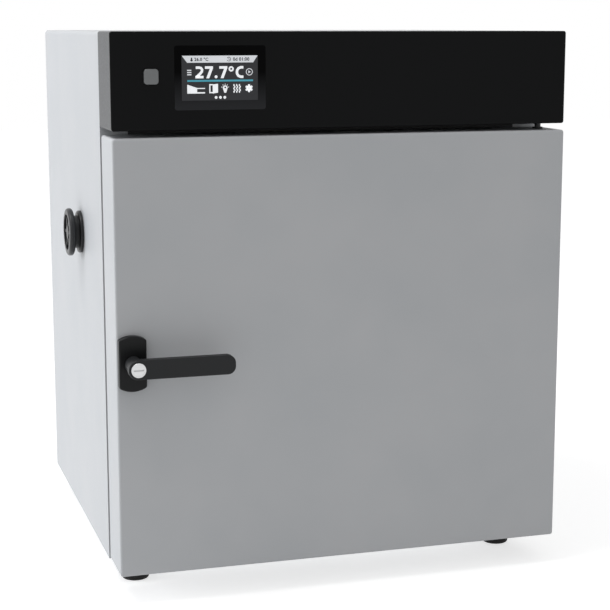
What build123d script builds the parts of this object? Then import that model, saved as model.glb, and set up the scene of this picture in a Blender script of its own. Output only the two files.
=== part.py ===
from build123d import *
import math
import os

# Laboratory incubator with a side-hinged door, millimetres, +Z up.
# Modelled with x = 0 at the middle of the cabinet, y = 0 at the front face of its body
# (+y towards the rear) and z = 0 at the surface that it stands on.
# The finished pieces are shifted so that the origin is the middle of the box's bottom.

# Cabinet body
BODY_W = 590.0
BODY_D = 475.0
BODY_H = 674.0
SHEET = 1.5
WRAP_EDGE_R = 5.0
REAR_LIP = 16.0
PAN_LIP = 20.0

# Feet
FOOT_H = 36.0
FOOT_R = 20.0
FOOT_TAPER = 2.5
FOOT_INSET = 38.0
FOOT_FRONT_Y = 22.0
FOOT_REAR_INSET = 40.0
FOOT_SCREW_R = 3.0
FOOT_SCREW_HEAD_R = 6.0
FOOT_SCREW_HEAD_H = 4.0
FOOT_RECESS_R = 9.0
FOOT_RECESS_H = 14.0
FOOT_SCREW_ABOVE_PAN = 8.0
FOOT_POCKET_GAP = 2.0

# Walls round the chamber and the rooms behind and above it
SIDE_WALL = 95.0
CHAMBER_BOTTOM = 80.0
TOP_WALL = 76.0
BAY_H = 128.0
HOT_ROOM = 30.0
FAN_SHARE = 0.74359
COOLER_SHARE = 0.28205
LINER_LIP = 12.0
DUCT_DEPTH = 38.0
REAR_INSULATION = 36.0

# Painted front ring and the thermal-break frame
RING_SIDE = 35.0
RING_BOTTOM = 24.0
BREAKER_T = 3.0
BREAKER_EDGE_R = 1.2
HEAD_CABLE_SIDE = 65.0
HEAD_CABLE_H = 70.0

# Door
DOOR_BOTTOM = 2.6
DOOR_T = 73.0
DOOR_GAP = 11.2
DOOR_EDGE_R = 3.5
PLATEAU_SIDE = 20.0
PLATEAU_H = 6.0
GASKET_SIDE = 45.0
GASKET_TOP = 45.0
GASKET_W = 22.0
GASKET_EDGE_R = 3.0

# Hinge
HINGE_INSET = 20.0
HINGE_Y = -46.0
PIN_R = 4.0
PIN_IN_DOOR = 18.0
BUSH_DEPTH = 20.0
BUSH_R = 5.5
BUSH_FLANGE_R = 6.5
BUSH_FLANGE_T = 2.0
BRACKET_T = 3.0
BRACKET_LEG = 40.0
BRACKET_INSET = 3.0
BRACKET_LEFT = 17.0
BRACKET_FRONT = 16.0

# Control head
HEAD_H = 117.5
HEAD_GAP = 8.4
HEAD_DEPTH = 82.0
FASCIA_T = 3.0
FASCIA_CHAMFER = 0.9
HEAD_EDGE_R = 3.0

# Display window and button, measured from the head's top and left side
WINDOW_INSET = 134.0
WINDOW_BELOW_TOP = 55.2
WINDOW_W = 113.0
WINDOW_H = 76.8
WINDOW_R = 3.0
WINDOW_PROUD = 0.4
GLASS_T = 2.4
MODULE_MARGIN = 4.0
MODULE_T = 9.0
BUTTON_INSET = 48.7
BUTTON_BELOW_TOP = 53.2
BUTTON_W = 18.0
BUTTON_H = 18.5
BUTTON_R = 4.0
BUTTON_PROUD = 3.5
BUTTON_TRAVEL = 2.5
BUTTON_SKIRT = 6.0
SWITCH_WALL = 2.5
SWITCH_BACK = 8.0

# Handle, latch and lock
HANDLE_INSET = 18.7
ESCUTCHEON_W = 34.3
ESCUTCHEON_H = 69.0
ESCUTCHEON_CROWN = 5.0
ESCUTCHEON_T = 10.0
ESCUTCHEON_EDGE_R = 2.0
ESCUTCHEON_CORNER_R = 3.5
HUB_R = 12.0
LEVER_PROUD = 46.0
LEVER_T = 12.0
LEVER_REACH = 120.0
LEVER_TIP_R = 10.0
LEVER_EDGE_R = 1.6
SHAFT_R = 4.0
SHAFT_BEHIND_LOCK = 2.0
LOCK_DISC_R = 9.0
LOCK_PROUD = 1.0
LOCK_SEAT = 1.5
LOCK_BARREL_R = 6.5
LOCK_BARREL_L = 14.0
LOCK_RIM_R = 7.6
LOCK_RIM_H = 0.5
KEYWAY_L = 12.5
KEYWAY_W = 1.8
KEYWAY_DEPTH = 3.0
HOOK_R = 18.0
HOOK_T = 4.0
HOOK_SHIFT = 2.0
SLOT_HALF = 3.7
STUD_R = 2.5
STUD_ARM = 11.0
STUD_BASE_R = 6.0
STUD_BASE_T = 1.5
SLOT_CLOSED_DEG = 60.0
SLOT_OPEN_DEG = 150.0
HOOK_FROM_DEG = 35.0

# Access port, half way along the chamber's depth
PORT_BELOW_CEILING = 64.0
PORT_BORE_R = 15.0
PORT_SEAT_R = 16.0
PORT_TUBE_R = 18.0
PORT_FLANGE_R = 28.5
PORT_FLANGE_T = 5.0
PORT_NECK_R = 22.0
PORT_NECK_L = 6.0
PORT_INNER_FLANGE_R = 25.0
PORT_INNER_FLANGE_T = 2.0
PORT_CAP_R = 32.0
PORT_CAP_T = 8.2
PORT_CAP_RIM = 8.0
PORT_CAP_RECESS = 3.0
PORT_CAP_HUB_R = 9.0
PORT_CAP_RIBS = 6
PORT_CAP_RIB_W = 4.0
PORT_STEM_R = 6.0

# Shelves and racks
RACK_POST_W = 20.0
RACK_POST_FRONT = 60.0
RACK_POST_BACK = 63.0
RACK_T = 1.5
RACK_LEDGE = 12.0
RACK_SIDE_H = 11.0
RACK_FIRST = 50.0
RACK_TOP_ROOM = 120.0
RACK_LEVELS = 5
RACK_FRONT = 18.0
RACK_BACK = 8.0
RACK_END = 6.0
SHELF_LEVELS = (1, 3)
SHELF_SIDE_GAP = 3.0
SHELF_ROD_R = 3.0
SHELF_WIRE_R = 1.25
SHELF_WIRES = 22
SHELF_CROSS = 2

# Air circulation and heating
IMPELLER_R = 62.0
IMPELLER_DEPTH = 20.0
IMPELLER_PLATE_T = 2.0
IMPELLER_HUB_R = 11.0
IMPELLER_BLADES = 9
IMPELLER_BLADE_T = 2.0
IMPELLER_GAP = 9.0
IMPELLER_RIM = 1.0
FAN_SHAFT_PROUD = 2.0
FAN_SHAFT_R = 3.0
MOTOR_R = 32.0
MOTOR_L = 38.0
MOTOR_PLATE = 84.0
MOTOR_PLATE_T = 3.0
HEATER_R = 74.0
HEATER_TUBE_R = 3.25
HEATER_LEG_R = 3.75
HEATER_OPEN_DEG = 30.0
HEATER_FLANGE_R = 7.0
HEATER_FLANGE_T = 2.0
BAFFLE_T = 1.0
BAFFLE_HOLE_R = 4.0
BAFFLE_HOLE_PITCH = 14.0
BAFFLE_HOLE_RINGS = 3
BAFFLE_SLOT_GAP = 16.0
BAFFLE_SLOT_H = 6.0
BAFFLE_SLOTS = 7
BAFFLE_SLOT_SIDE = 44.0
BAFFLE_SLOT_INSET = 22.0
PROBE_X = 110.0
PROBE_R = 2.0
PROBE_L = 55.0
PROBE_GLAND_R = 6.0
PROBE_GLAND_T = 5.0

# Cooling
BLOCK_HALF = 30.0
TILE_HALF = 20.0
TILE_T = 4.0
COLD_SINK_W = 120.0
COLD_SINK_H = 96.0
COLD_BASE_T = 6.0
COLD_FIN_L = 24.0
COLD_FINS = 15
HOT_SINK_W = 140.0
HOT_SINK_H = 140.0
HOT_BASE_T = 6.0
HOT_FINS = 19
FIN_T = 1.6
EXHAUST_FAN_W = 119.0
EXHAUST_FAN_T = 25.0
EXHAUST_BORE_R = 56.5
EXHAUST_CORNER_R = 6.0
EXHAUST_BOSS_R = 19.0
EXHAUST_BOSS_T = 4.0
EXHAUST_STRUT_W = 5.0
EXHAUST_STRUTS = 4
EXHAUST_HUB_R = 18.0
EXHAUST_TIP_GAP = 1.5
EXHAUST_BLADES = 7
EXHAUST_BLADE_T = 1.8
EXHAUST_BLADE_DEG = 35.0
EXHAUST_AXLE_R = 2.0
EXHAUST_SCREW_PITCH = 105.0
GUARD_WIRE_R = 1.1
GUARD_RINGS = 5
GUARD_SPOKES = 4
GUARD_EYE_R = 6.5

# Electronics bay and rear fittings
BOARD_W = 190.0
BOARD_D = 130.0
BOARD_T = 1.6
BOARD_X = 90.0
BOARD_Y = 230.0
STANDOFF_H = 10.0
STANDOFF_R = 3.0
STANDOFF_INSET = 8.0
# Each part on the board: place, width and depth as shares of the board, height in standoffs
BOARD_PARTS = (
    (-0.32, 0.23, 0.18, 0.22, 1.8),
    (-0.05, 0.23, 0.18, 0.22, 1.8),
    (0.24, 0.19, 0.23, 0.28, 2.4),
    (-0.26, -0.23, 0.12, 0.17, 0.3),
    (0.0, -0.27, 0.16, 0.23, 0.4),
    (0.32, -0.29, 0.21, 0.09, 1.2),
)
SUPPLY_W = 98.0
SUPPLY_D = 160.0
SUPPLY_H = 40.0
SUPPLY_X = -150.0
SUPPLY_Y = 250.0
INLET_INSET = 80.0
INLET_BELOW_TOP = 62.0
INLET_W = 28.0
INLET_H = 48.0
INLET_BODY_L = 26.0
INLET_FLANGE = 5.0
INLET_FLANGE_T = 2.5
INLET_SOCKET_W = 24.0
INLET_SOCKET_H = 16.6
INLET_SOCKET_DEPTH = 16.0
INLET_SOCKET_UP = 11.0
INLET_PIN_T = 2.0
INLET_PIN_W = 4.0
INLET_PIN_PITCH = 7.0
INLET_PIN_OUT = 10.0
FUSE_W = 20.0
FUSE_H = 10.0
FUSE_PROUD = 1.2
PORTS_INSET = 165.0
PORTS_W = 44.0
PORTS_H = 24.0
PORTS_BODY_L = 20.0
PORTS_FLANGE = 4.0
PORTS_FLANGE_T = 1.5
NET_SOCKET_W = 11.8
NET_SOCKET_H = 9.0
SOCKET_DEPTH = 13.0
USB_SOCKET_W = 12.6
USB_SOCKET_H = 5.2
USB_TONGUE_T = 1.8
USB_TONGUE_SIDE = 1.0
LAMP_W = 130.0
LAMP_D = 24.0
LAMP_H = 11.0
LAMP_Y = 40.0
LAMP_EDGE_R = 4.0
PANEL_SCREW_R = 2.0
PANEL_SCREW_HEAD_R = 3.6
PANEL_SCREW_HEAD_H = 2.2
PANEL_SCREW_L = 6.0
PANEL_SCREW_INSET = 9.5
PANEL_SCREW_ROWS = 4
VENT_W = 70.0
VENT_H = 5.0
VENT_PITCH = 13.0
VENT_ROWS = 5
BAY_VENT_INSET = 145.0
LOW_VENT_INSET = 100.0

# Named clearances
RUN_GAP = 0.05
TURN_GAP = 0.3
HOLE_GAP = 0.2
WIRE_GAP = 0.5
SEAL_GAP = 0.4
RIVET_GAP = 0.02

# Places worked out from the sizes above
Z_BODY = FOOT_H
Z_TOP = Z_BODY + BODY_H
X_SIDE = BODY_W / 2
X_IN = X_SIDE - SHEET
Y_REAR = BODY_D - SHEET
Z_DOOR = Z_BODY + DOOR_BOTTOM
Z_HEAD = Z_TOP - HEAD_H
Z_DOOR_TOP = Z_HEAD - HEAD_GAP
Y_DOOR_BACK = -DOOR_GAP
Y_DOOR = Y_DOOR_BACK - DOOR_T
Y_HEAD = -HEAD_DEPTH
Y_HOUSING = Y_HEAD + FASCIA_T

X_CH = X_SIDE - SIDE_WALL
Z_BAY = Z_TOP - BAY_H
Z_CH = Z_BODY + CHAMBER_BOTTOM
Z_CH_TOP = Z_BAY - TOP_WALL
Y_EXHAUST = Y_REAR - EXHAUST_FAN_T
Y_WALL_BACK = Y_EXHAUST - HOT_ROOM
Y_LINER_BACK = Y_WALL_BACK - REAR_INSULATION
Y_CH_BACK = Y_LINER_BACK - SHEET
Y_BAFFLE = Y_CH_BACK - DUCT_DEPTH
Y_LIP = BREAKER_T + SHEET
RACK_PITCH = (Z_CH_TOP - Z_CH - RACK_FIRST - RACK_TOP_ROOM) / (RACK_LEVELS - 1)
BAFFLE_SLOT_PITCH = 2 * (X_CH - BAFFLE_SLOT_SIDE) / (BAFFLE_SLOTS - 1)

X_HINGE = X_SIDE - HINGE_INSET
X_HANDLE = -X_SIDE + HANDLE_INSET
Z_HANDLE = (Z_DOOR + Z_DOOR_TOP) / 2
Y_ESCUTCHEON = Y_DOOR - ESCUTCHEON_T
Y_LEVER = Y_DOOR - LEVER_PROUD
Y_LOCK = Y_LEVER - LOCK_PROUD
Y_LOCK_SEAT = Y_LEVER + LOCK_SEAT
Y_BARREL_END = Y_LOCK_SEAT + LOCK_BARREL_L
Y_SHAFT = Y_BARREL_END + SHAFT_BEHIND_LOCK
Y_HOOK = Y_DOOR_BACK + HOOK_SHIFT
Y_SHAFT_END = Y_HOOK + HOOK_T
Z_STUD = Z_HANDLE + STUD_ARM

PORT_Y = Y_BAFFLE / 2
Z_PORT = Z_CH_TOP - PORT_BELOW_CEILING
X_NECK = -X_SIDE - PORT_FLANGE_T - PORT_NECK_L
X_CAP_IN = X_NECK - TURN_GAP
X_CAP_OUT = X_CAP_IN - PORT_CAP_T
X_PLUG_END = -X_SIDE - TURN_GAP

Z_FAN = Z_CH + FAN_SHARE * (Z_CH_TOP - Z_CH)
Y_IMPELLER = Y_BAFFLE + IMPELLER_GAP
Y_IMPELLER_BACK = Y_IMPELLER + IMPELLER_DEPTH
Z_COOLER = Z_CH + COOLER_SHARE * (Z_CH_TOP - Z_CH)
Y_GUARD = BODY_D + GUARD_WIRE_R
Y_SPOKE = Y_GUARD + 1.5 * GUARD_WIRE_R
Y_GUARD_FACE = BODY_D + 2 * GUARD_WIRE_R
Z_WINDOW = Z_TOP - WINDOW_BELOW_TOP
Z_BUTTON = Z_TOP - BUTTON_BELOW_TOP
Z_INLET = Z_TOP - INLET_BELOW_TOP
WINDOW_X = -X_SIDE + WINDOW_INSET
BUTTON_X = -X_SIDE + BUTTON_INSET
INLET_X = -X_SIDE + INLET_INSET
PORTS_X = -X_SIDE + PORTS_INSET
BAY_VENT_X = X_SIDE - BAY_VENT_INSET
LOW_VENT_X = X_SIDE - LOW_VENT_INSET

X_MID = (X_CAP_OUT + X_SIDE) / 2
Y_INLET_BACK = BODY_D + INLET_FLANGE_T + FUSE_PROUD
Y_REARMOST = max(Y_GUARD_FACE + PANEL_SCREW_HEAD_H, Y_SPOKE + GUARD_WIRE_R, Y_INLET_BACK)
Y_MID = (Y_LOCK + Y_REARMOST) / 2


def block(x0, x1, y0, y1, z0, z1):
    """A block between six planes."""
    return Pos((x0 + x1) / 2, (y0 + y1) / 2, (z0 + z1) / 2) * Box(x1 - x0, y1 - y0, z1 - z0)


def rod_x(y, z, r, x0, x1):
    """A round rod along x."""
    return Pos((x0 + x1) / 2, y, z) * Rot(0, 90, 0) * Cylinder(r, x1 - x0)


def rod_y(x, z, r, y0, y1):
    """A round rod along y."""
    return Pos(x, (y0 + y1) / 2, z) * Rot(90, 0, 0) * Cylinder(r, y1 - y0)


def rod_z(x, y, r, z0, z1):
    """A round rod along z."""
    return Pos(x, y, (z0 + z1) / 2) * Cylinder(r, z1 - z0)


def facing(outline, x, z, y0, y1):
    """A prism of an outline drawn as seen from the front, between two y planes."""
    front = Plane(origin=(x, y1, z), x_dir=(1, 0, 0), z_dir=(0, -1, 0))
    return front.location * extrude(outline, y1 - y0)


def union(shapes):
    """All the shapes as one solid."""
    shapes = list(shapes)
    return shapes[0].fuse(*shapes[1:]) if len(shapes) > 1 else shapes[0]


def edges_at(shape, axis, place):
    """The edges that lie in the plane at one place along an axis."""
    return shape.edges().filter_by_position(axis, place - 1e-3, place + 1e-3)


def sheet_ring(half_w, z0, z1, half_open, open0, open1, y0, y1):
    """A flat ring with a rectangular opening, as seen from the front."""
    ring = block(-half_w, half_w, y0, y1, z0, z1)
    return ring - block(-half_open, half_open, y0 - 1, y1 + 1, open0, open1)


# Where the rear panel's screws sit
def panel_screw_places():
    x = X_IN - PANEL_SCREW_INSET
    low = Z_BODY + PAN_LIP + PANEL_SCREW_INSET
    step = (Z_TOP - SHEET - PANEL_SCREW_INSET - low) / (PANEL_SCREW_ROWS - 1)
    return [(side * x, low + i * step) for side in (-1, 1) for i in range(PANEL_SCREW_ROWS)]


def fan_screw_places():
    half = EXHAUST_SCREW_PITCH / 2
    return [(sx * half, Z_COOLER + sz * half) for sx in (-1, 1) for sz in (-1, 1)]


def foot_places():
    rear = BODY_D - FOOT_REAR_INSET
    x = X_SIDE - FOOT_INSET
    return [(sx * x, y) for y in (FOOT_FRONT_Y, rear) for sx in (-1, 1)]


# Casing
def top_rounded(half_w, z0, z1, r, y0, y1):
    """A block whose two upper edges along y are rounded."""
    shape = block(-half_w, half_w, y0, y1, z0, z1)
    upper = shape.edges().filter_by(Axis.Y).sort_by(Axis.Z)[-2:]
    return fillet(upper, r)


def outer_wrap():
    wrap = top_rounded(X_SIDE, Z_BODY, Z_TOP, WRAP_EDGE_R, 0, BODY_D)
    inside = top_rounded(X_IN, Z_BODY - 1, Z_TOP - SHEET, WRAP_EDGE_R - SHEET, -1, BODY_D + 1)
    wrap = wrap - inside
    for side in (-1, 1):
        inner, outer = sorted((side * (X_IN - REAR_LIP), side * X_IN))
        wrap += block(inner, outer, Y_REAR - SHEET, Y_REAR, Z_BODY + SHEET, Z_TOP - WRAP_EDGE_R)
    for x, z in panel_screw_places():
        wrap -= rod_y(x, z, PANEL_SCREW_R + RIVET_GAP, Y_REAR - SHEET - 1, Y_REAR + 1)
    return wrap - rod_x(PORT_Y, Z_PORT, PORT_TUBE_R, -X_SIDE - 1, -X_IN + 1)


def base_pan():
    y0, y1 = SHEET, Y_REAR
    pan = block(-X_IN, X_IN, y0, y1, Z_BODY, Z_BODY + SHEET)
    for side in (-1, 1):
        inner, outer = sorted((side * (X_IN - SHEET), side * X_IN))
        pan += block(inner, outer, y0, y1 - SHEET, Z_BODY + SHEET, Z_BODY + PAN_LIP)
    for x, y in foot_places():
        pan -= rod_z(x, y, FOOT_SCREW_R + RIVET_GAP, Z_BODY - 1, Z_BODY + SHEET + 1)
    return pan


def rear_panel():
    panel = block(-X_IN, X_IN, Y_REAR, BODY_D, Z_BODY, Z_TOP - SHEET)
    corners = panel.edges().filter_by(Axis.Y).sort_by(Axis.Z)[-2:]
    panel = fillet(corners, WRAP_EDGE_R - SHEET)
    y0, y1 = Y_REAR - 1, BODY_D + 1
    cuts = [rod_y(0, Z_COOLER, EXHAUST_BORE_R, y0, y1)]
    for x, z in panel_screw_places() + fan_screw_places():
        cuts.append(rod_y(x, z, PANEL_SCREW_R + HOLE_GAP, y0, y1))
    half_w, half_h = INLET_W / 2, INLET_H / 2
    cuts.append(block(INLET_X - half_w, INLET_X + half_w, y0, y1, Z_INLET - half_h, Z_INLET + half_h))
    half_w, half_h = PORTS_W / 2, PORTS_H / 2
    cuts.append(block(PORTS_X - half_w, PORTS_X + half_w, y0, y1, Z_INLET - half_h, Z_INLET + half_h))
    for x, z in vent_places():
        cuts.append(facing(SlotOverall(VENT_W, VENT_H), x, z, y0, y1))
    return panel - cuts


def vent_places():
    places = []
    for i in range(VENT_ROWS):
        up = (i - (VENT_ROWS - 1) / 2) * VENT_PITCH
        places.append((BAY_VENT_X, Z_INLET + up))
        for side in (-1, 1):
            places.append((side * LOW_VENT_X, Z_COOLER + up))
            places.append((side * LOW_VENT_X, Z_FAN + up))
    return places


def panel_screw(x, z, y_face):
    """A pan-head screw, its head outside the face."""
    head = rod_y(x, z, PANEL_SCREW_HEAD_R, y_face, y_face + PANEL_SCREW_HEAD_H)
    head = fillet(edges_at(head, Axis.Y, y_face + PANEL_SCREW_HEAD_H), PANEL_SCREW_HEAD_H / 2)
    cross = PANEL_SCREW_HEAD_R / 2
    y_top = y_face + PANEL_SCREW_HEAD_H
    for long, wide in ((cross, cross / 4), (cross / 4, cross)):
        head -= block(x - long, x + long, y_top - 1, y_top + 1, z - wide, z + wide)
    return head + rod_y(x, z, PANEL_SCREW_R, y_face - PANEL_SCREW_L, y_face)


def rear_panel_screws():
    screws = [panel_screw(x, z, BODY_D) for x, z in panel_screw_places()]
    screws += [panel_screw(x, z, Y_GUARD_FACE) for x, z in fan_screw_places()]
    return screws


def front_frame():
    half = X_SIDE - RING_SIDE
    frame = sheet_ring(X_IN, Z_BODY, Z_TOP - SHEET, half, Z_BODY + RING_BOTTOM, Z_HEAD, 0, SHEET)
    corners = frame.edges().filter_by(Axis.Y).sort_by(Axis.Z)[-2:]
    frame = fillet(corners, WRAP_EDGE_R - SHEET)
    z = (Z_HEAD + Z_TOP) / 2
    half_w, half_h = X_SIDE - HEAD_CABLE_SIDE, HEAD_CABLE_H / 2
    return frame - block(-half_w, half_w, -1, SHEET + 1, z - half_h, z + half_h)


def breaker_frame():
    half = X_SIDE - RING_SIDE
    frame = sheet_ring(half, Z_BODY + RING_BOTTOM, Z_HEAD, X_CH, Z_CH, Z_CH_TOP, 0, BREAKER_T)
    front = edges_at(frame, Axis.Y, 0)
    mouth = [e for e in front if abs(e.center().X) <= X_CH + 1 and Z_CH - 1 <= e.center().Z <= Z_CH_TOP + 1]
    return fillet(mouth, BREAKER_EDGE_R)


def chamber_liner():
    out = X_CH + SHEET
    liner = block(-out, out, BREAKER_T, Y_LINER_BACK, Z_CH - SHEET, Z_CH_TOP + SHEET)
    lip = X_CH + LINER_LIP
    liner += block(-lip, lip, BREAKER_T, Y_LIP, Z_CH - LINER_LIP, Z_CH_TOP + LINER_LIP)
    liner -= block(-X_CH, X_CH, BREAKER_T - 1, Y_CH_BACK, Z_CH, Z_CH_TOP)
    liner -= rod_x(PORT_Y, Z_PORT, PORT_TUBE_R, -out - 1, -X_CH + 1)
    y0, y1 = Y_CH_BACK - 1, Y_LINER_BACK + 1
    liner -= rod_y(0, Z_FAN, FAN_SHAFT_R + WIRE_GAP, y0, y1)
    hole = BLOCK_HALF + TURN_GAP
    return liner - block(-hole, hole, y0, y1, Z_COOLER - hole, Z_COOLER + hole)


# Insulation
def foot_pocket(x, y):
    top = Z_BODY + SHEET + FOOT_SCREW_ABOVE_PAN + FOOT_POCKET_GAP
    return rod_z(x, y, FOOT_SCREW_R + FOOT_POCKET_GAP, Z_BODY, top)


def insulation_bottom():
    out = X_IN - SHEET
    slab = block(-out, out, Y_LIP, Y_WALL_BACK, Z_BODY + SHEET, Z_CH - SHEET)
    slab -= block(-X_CH - LINER_LIP, X_CH + LINER_LIP, 0, Y_LIP, Z_BODY, Z_CH)
    return slab - [foot_pocket(x, y) for x, y in foot_places()]


def insulation_top():
    return block(-X_IN, X_IN, Y_LIP, Y_WALL_BACK, Z_CH_TOP + SHEET, Z_BAY)


def insulation_side(side):
    inner, outer = sorted((side * (X_CH + SHEET), side * (X_IN - SHEET)))
    slab = block(inner, outer, Y_LIP, Y_WALL_BACK, Z_CH - SHEET, Z_CH_TOP + SHEET)
    if side < 0:
        slab -= rod_x(PORT_Y, Z_PORT, PORT_TUBE_R, inner - 1, outer + 1)
    return slab


def insulation_rear():
    out = X_CH + SHEET
    slab = block(-out, out, Y_LINER_BACK, Y_WALL_BACK, Z_CH - SHEET, Z_CH_TOP + SHEET)
    slab -= rod_y(0, Z_FAN, FAN_SHAFT_R + WIRE_GAP, Y_LINER_BACK - 1, Y_WALL_BACK + 1)
    hole = BLOCK_HALF + TURN_GAP
    z0, z1 = Z_COOLER - hole, Z_COOLER + hole
    return slab - block(-hole, hole, Y_LINER_BACK - 1, Y_WALL_BACK + 1, z0, z1)


def bay_floor():
    return block(-X_IN, X_IN, BREAKER_T, Y_REAR - SHEET, Z_BAY, Z_BAY + SHEET)


# Control head
def head_housing():
    housing = block(-X_SIDE, X_SIDE, Y_HOUSING, 0, Z_HEAD, Z_TOP)
    housing = fillet(housing.edges().filter_by(Axis.Y), HEAD_EDGE_R)
    inside = block(-X_IN, X_IN, Y_HOUSING - 1, 1, Z_HEAD + SHEET, Z_TOP - SHEET)
    inside = fillet(inside.edges().filter_by(Axis.Y), HEAD_EDGE_R - SHEET)
    housing -= inside
    return housing - rod_z(X_HINGE, HINGE_Y, PIN_R + HOLE_GAP, Z_HEAD - 1, Z_HEAD + SHEET + 1)


def fascia_panel():
    panel = block(-X_SIDE, X_SIDE, Y_HEAD, Y_HOUSING, Z_HEAD, Z_TOP)
    panel = fillet(panel.edges().filter_by(Axis.Y), HEAD_EDGE_R)
    panel = chamfer(edges_at(panel, Axis.Y, Y_HEAD), FASCIA_CHAMFER)
    window = RectangleRounded(WINDOW_W, WINDOW_H, WINDOW_R)
    panel -= facing(window, WINDOW_X, Z_WINDOW, Y_HEAD - 1, Y_HOUSING + 1)
    hole = RectangleRounded(BUTTON_W + 2 * TURN_GAP, BUTTON_H + 2 * TURN_GAP, BUTTON_R + TURN_GAP)
    return panel - facing(hole, BUTTON_X, Z_BUTTON, Y_HEAD - 1, Y_HOUSING + 1)


def display_glass():
    window = RectangleRounded(WINDOW_W, WINDOW_H, WINDOW_R)
    y0 = Y_HEAD - WINDOW_PROUD
    glass = facing(window, WINDOW_X, Z_WINDOW, y0, y0 + GLASS_T)
    return chamfer(edges_at(glass, Axis.Y, y0), WINDOW_PROUD * 0.8)


def display_module():
    y0 = Y_HEAD - WINDOW_PROUD + GLASS_T
    half_w, half_h = WINDOW_W / 2 - MODULE_MARGIN, WINDOW_H / 2 - MODULE_MARGIN
    z0, z1 = Z_WINDOW - half_h, Z_WINDOW + half_h
    module = block(WINDOW_X - half_w, WINDOW_X + half_w, y0, y0 + MODULE_T, z0, z1)
    rim = MODULE_MARGIN * 2
    x0, x1 = WINDOW_X - half_w - rim, WINDOW_X + half_w + rim
    return module + block(x0, x1, Y_HOUSING, Y_HOUSING + SHEET, z0 - rim, z1 + rim)


def power_button():
    y0 = Y_HEAD - BUTTON_PROUD
    outline = RectangleRounded(BUTTON_W, BUTTON_H, BUTTON_R)
    cap = facing(outline, BUTTON_X, Z_BUTTON, y0, Y_HOUSING + BUTTON_SKIRT)
    return fillet(edges_at(cap, Axis.Y, y0), BUTTON_PROUD * 0.3)


def button_switch():
    depth = BUTTON_SKIRT + BUTTON_TRAVEL + TURN_GAP
    out = SWITCH_WALL + TURN_GAP
    outer = RectangleRounded(BUTTON_W + 2 * out, BUTTON_H + 2 * out, BUTTON_R)
    inner = RectangleRounded(BUTTON_W + 2 * TURN_GAP, BUTTON_H + 2 * TURN_GAP, BUTTON_R + TURN_GAP)
    body = facing(outer, BUTTON_X, Z_BUTTON, Y_HOUSING, Y_HOUSING + depth + SWITCH_BACK)
    return body - facing(inner, BUTTON_X, Z_BUTTON, Y_HOUSING - 1, Y_HOUSING + depth)


# Door
def shaft_hole(y0, y1, gap=TURN_GAP):
    return rod_y(X_HANDLE, Z_HANDLE, SHAFT_R + gap, y0, y1)


def bush_holes():
    top = rod_z(X_HINGE, HINGE_Y, BUSH_R, Z_DOOR_TOP - BUSH_DEPTH, Z_DOOR_TOP + 1)
    bottom = rod_z(X_HINGE, HINGE_Y, BUSH_R, Z_DOOR - 1, Z_DOOR + BUSH_DEPTH)
    return [top, bottom]


def door_skin():
    skin = block(-X_SIDE, X_SIDE, Y_DOOR, Y_DOOR_BACK, Z_DOOR, Z_DOOR_TOP)
    skin = fillet(skin.edges().filter_by(Axis.Y), DOOR_EDGE_R)
    skin = fillet(edges_at(skin, Axis.Y, Y_DOOR), DOOR_EDGE_R - 0.5)
    inside = block(-X_IN, X_IN, Y_DOOR + SHEET, Y_DOOR_BACK + 1, Z_DOOR + SHEET, Z_DOOR_TOP - SHEET)
    inside = fillet(inside.edges().filter_by(Axis.Y), DOOR_EDGE_R - SHEET)
    skin -= inside
    return skin - bush_holes() - shaft_hole(Y_DOOR - 1, Y_DOOR + SHEET + 1)


def door_insulation():
    y0, y1 = Y_DOOR + SHEET, Y_DOOR_BACK - SHEET
    fill = block(-X_IN, X_IN, y0, y1, Z_DOOR + SHEET, Z_DOOR_TOP - SHEET)
    fill = fillet(fill.edges().filter_by(Axis.Y), DOOR_EDGE_R - SHEET)
    return fill - bush_holes() - shaft_hole(y0 - 1, y1 + 1)


def door_inner_panel():
    y0, y1 = Y_DOOR_BACK - SHEET, Y_DOOR_BACK
    panel = block(-X_IN, X_IN, y0, y1, Z_DOOR + SHEET, Z_DOOR_TOP - SHEET)
    panel = fillet(panel.edges().filter_by(Axis.Y), DOOR_EDGE_R - SHEET)
    half = X_CH - PLATEAU_SIDE
    z0, z1 = Z_CH + PLATEAU_SIDE, Z_CH_TOP - PLATEAU_SIDE
    raised = block(-half, half, y0, y1 + PLATEAU_H, z0, z1)
    raised = fillet(edges_at(raised, Axis.Y, y1 + PLATEAU_H), PLATEAU_H / 2)
    hollow = block(-half + SHEET, half - SHEET, y0 - 1, y1 + PLATEAU_H - SHEET, z0 + SHEET, z1 - SHEET)
    return panel + raised - hollow - shaft_hole(y0 - 1, y1 + 1)


def door_gasket():
    half = X_SIDE - RING_SIDE - GASKET_SIDE / 3
    z0 = Z_CH - GASKET_SIDE
    z1 = Z_CH_TOP + GASKET_TOP
    ring = sheet_ring(half, z0, z1, half - GASKET_W, z0 + GASKET_W, z1 - GASKET_W, Y_DOOR_BACK, -SEAL_GAP)
    return fillet(edges_at(ring, Axis.Y, -SEAL_GAP), GASKET_EDGE_R)


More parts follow.
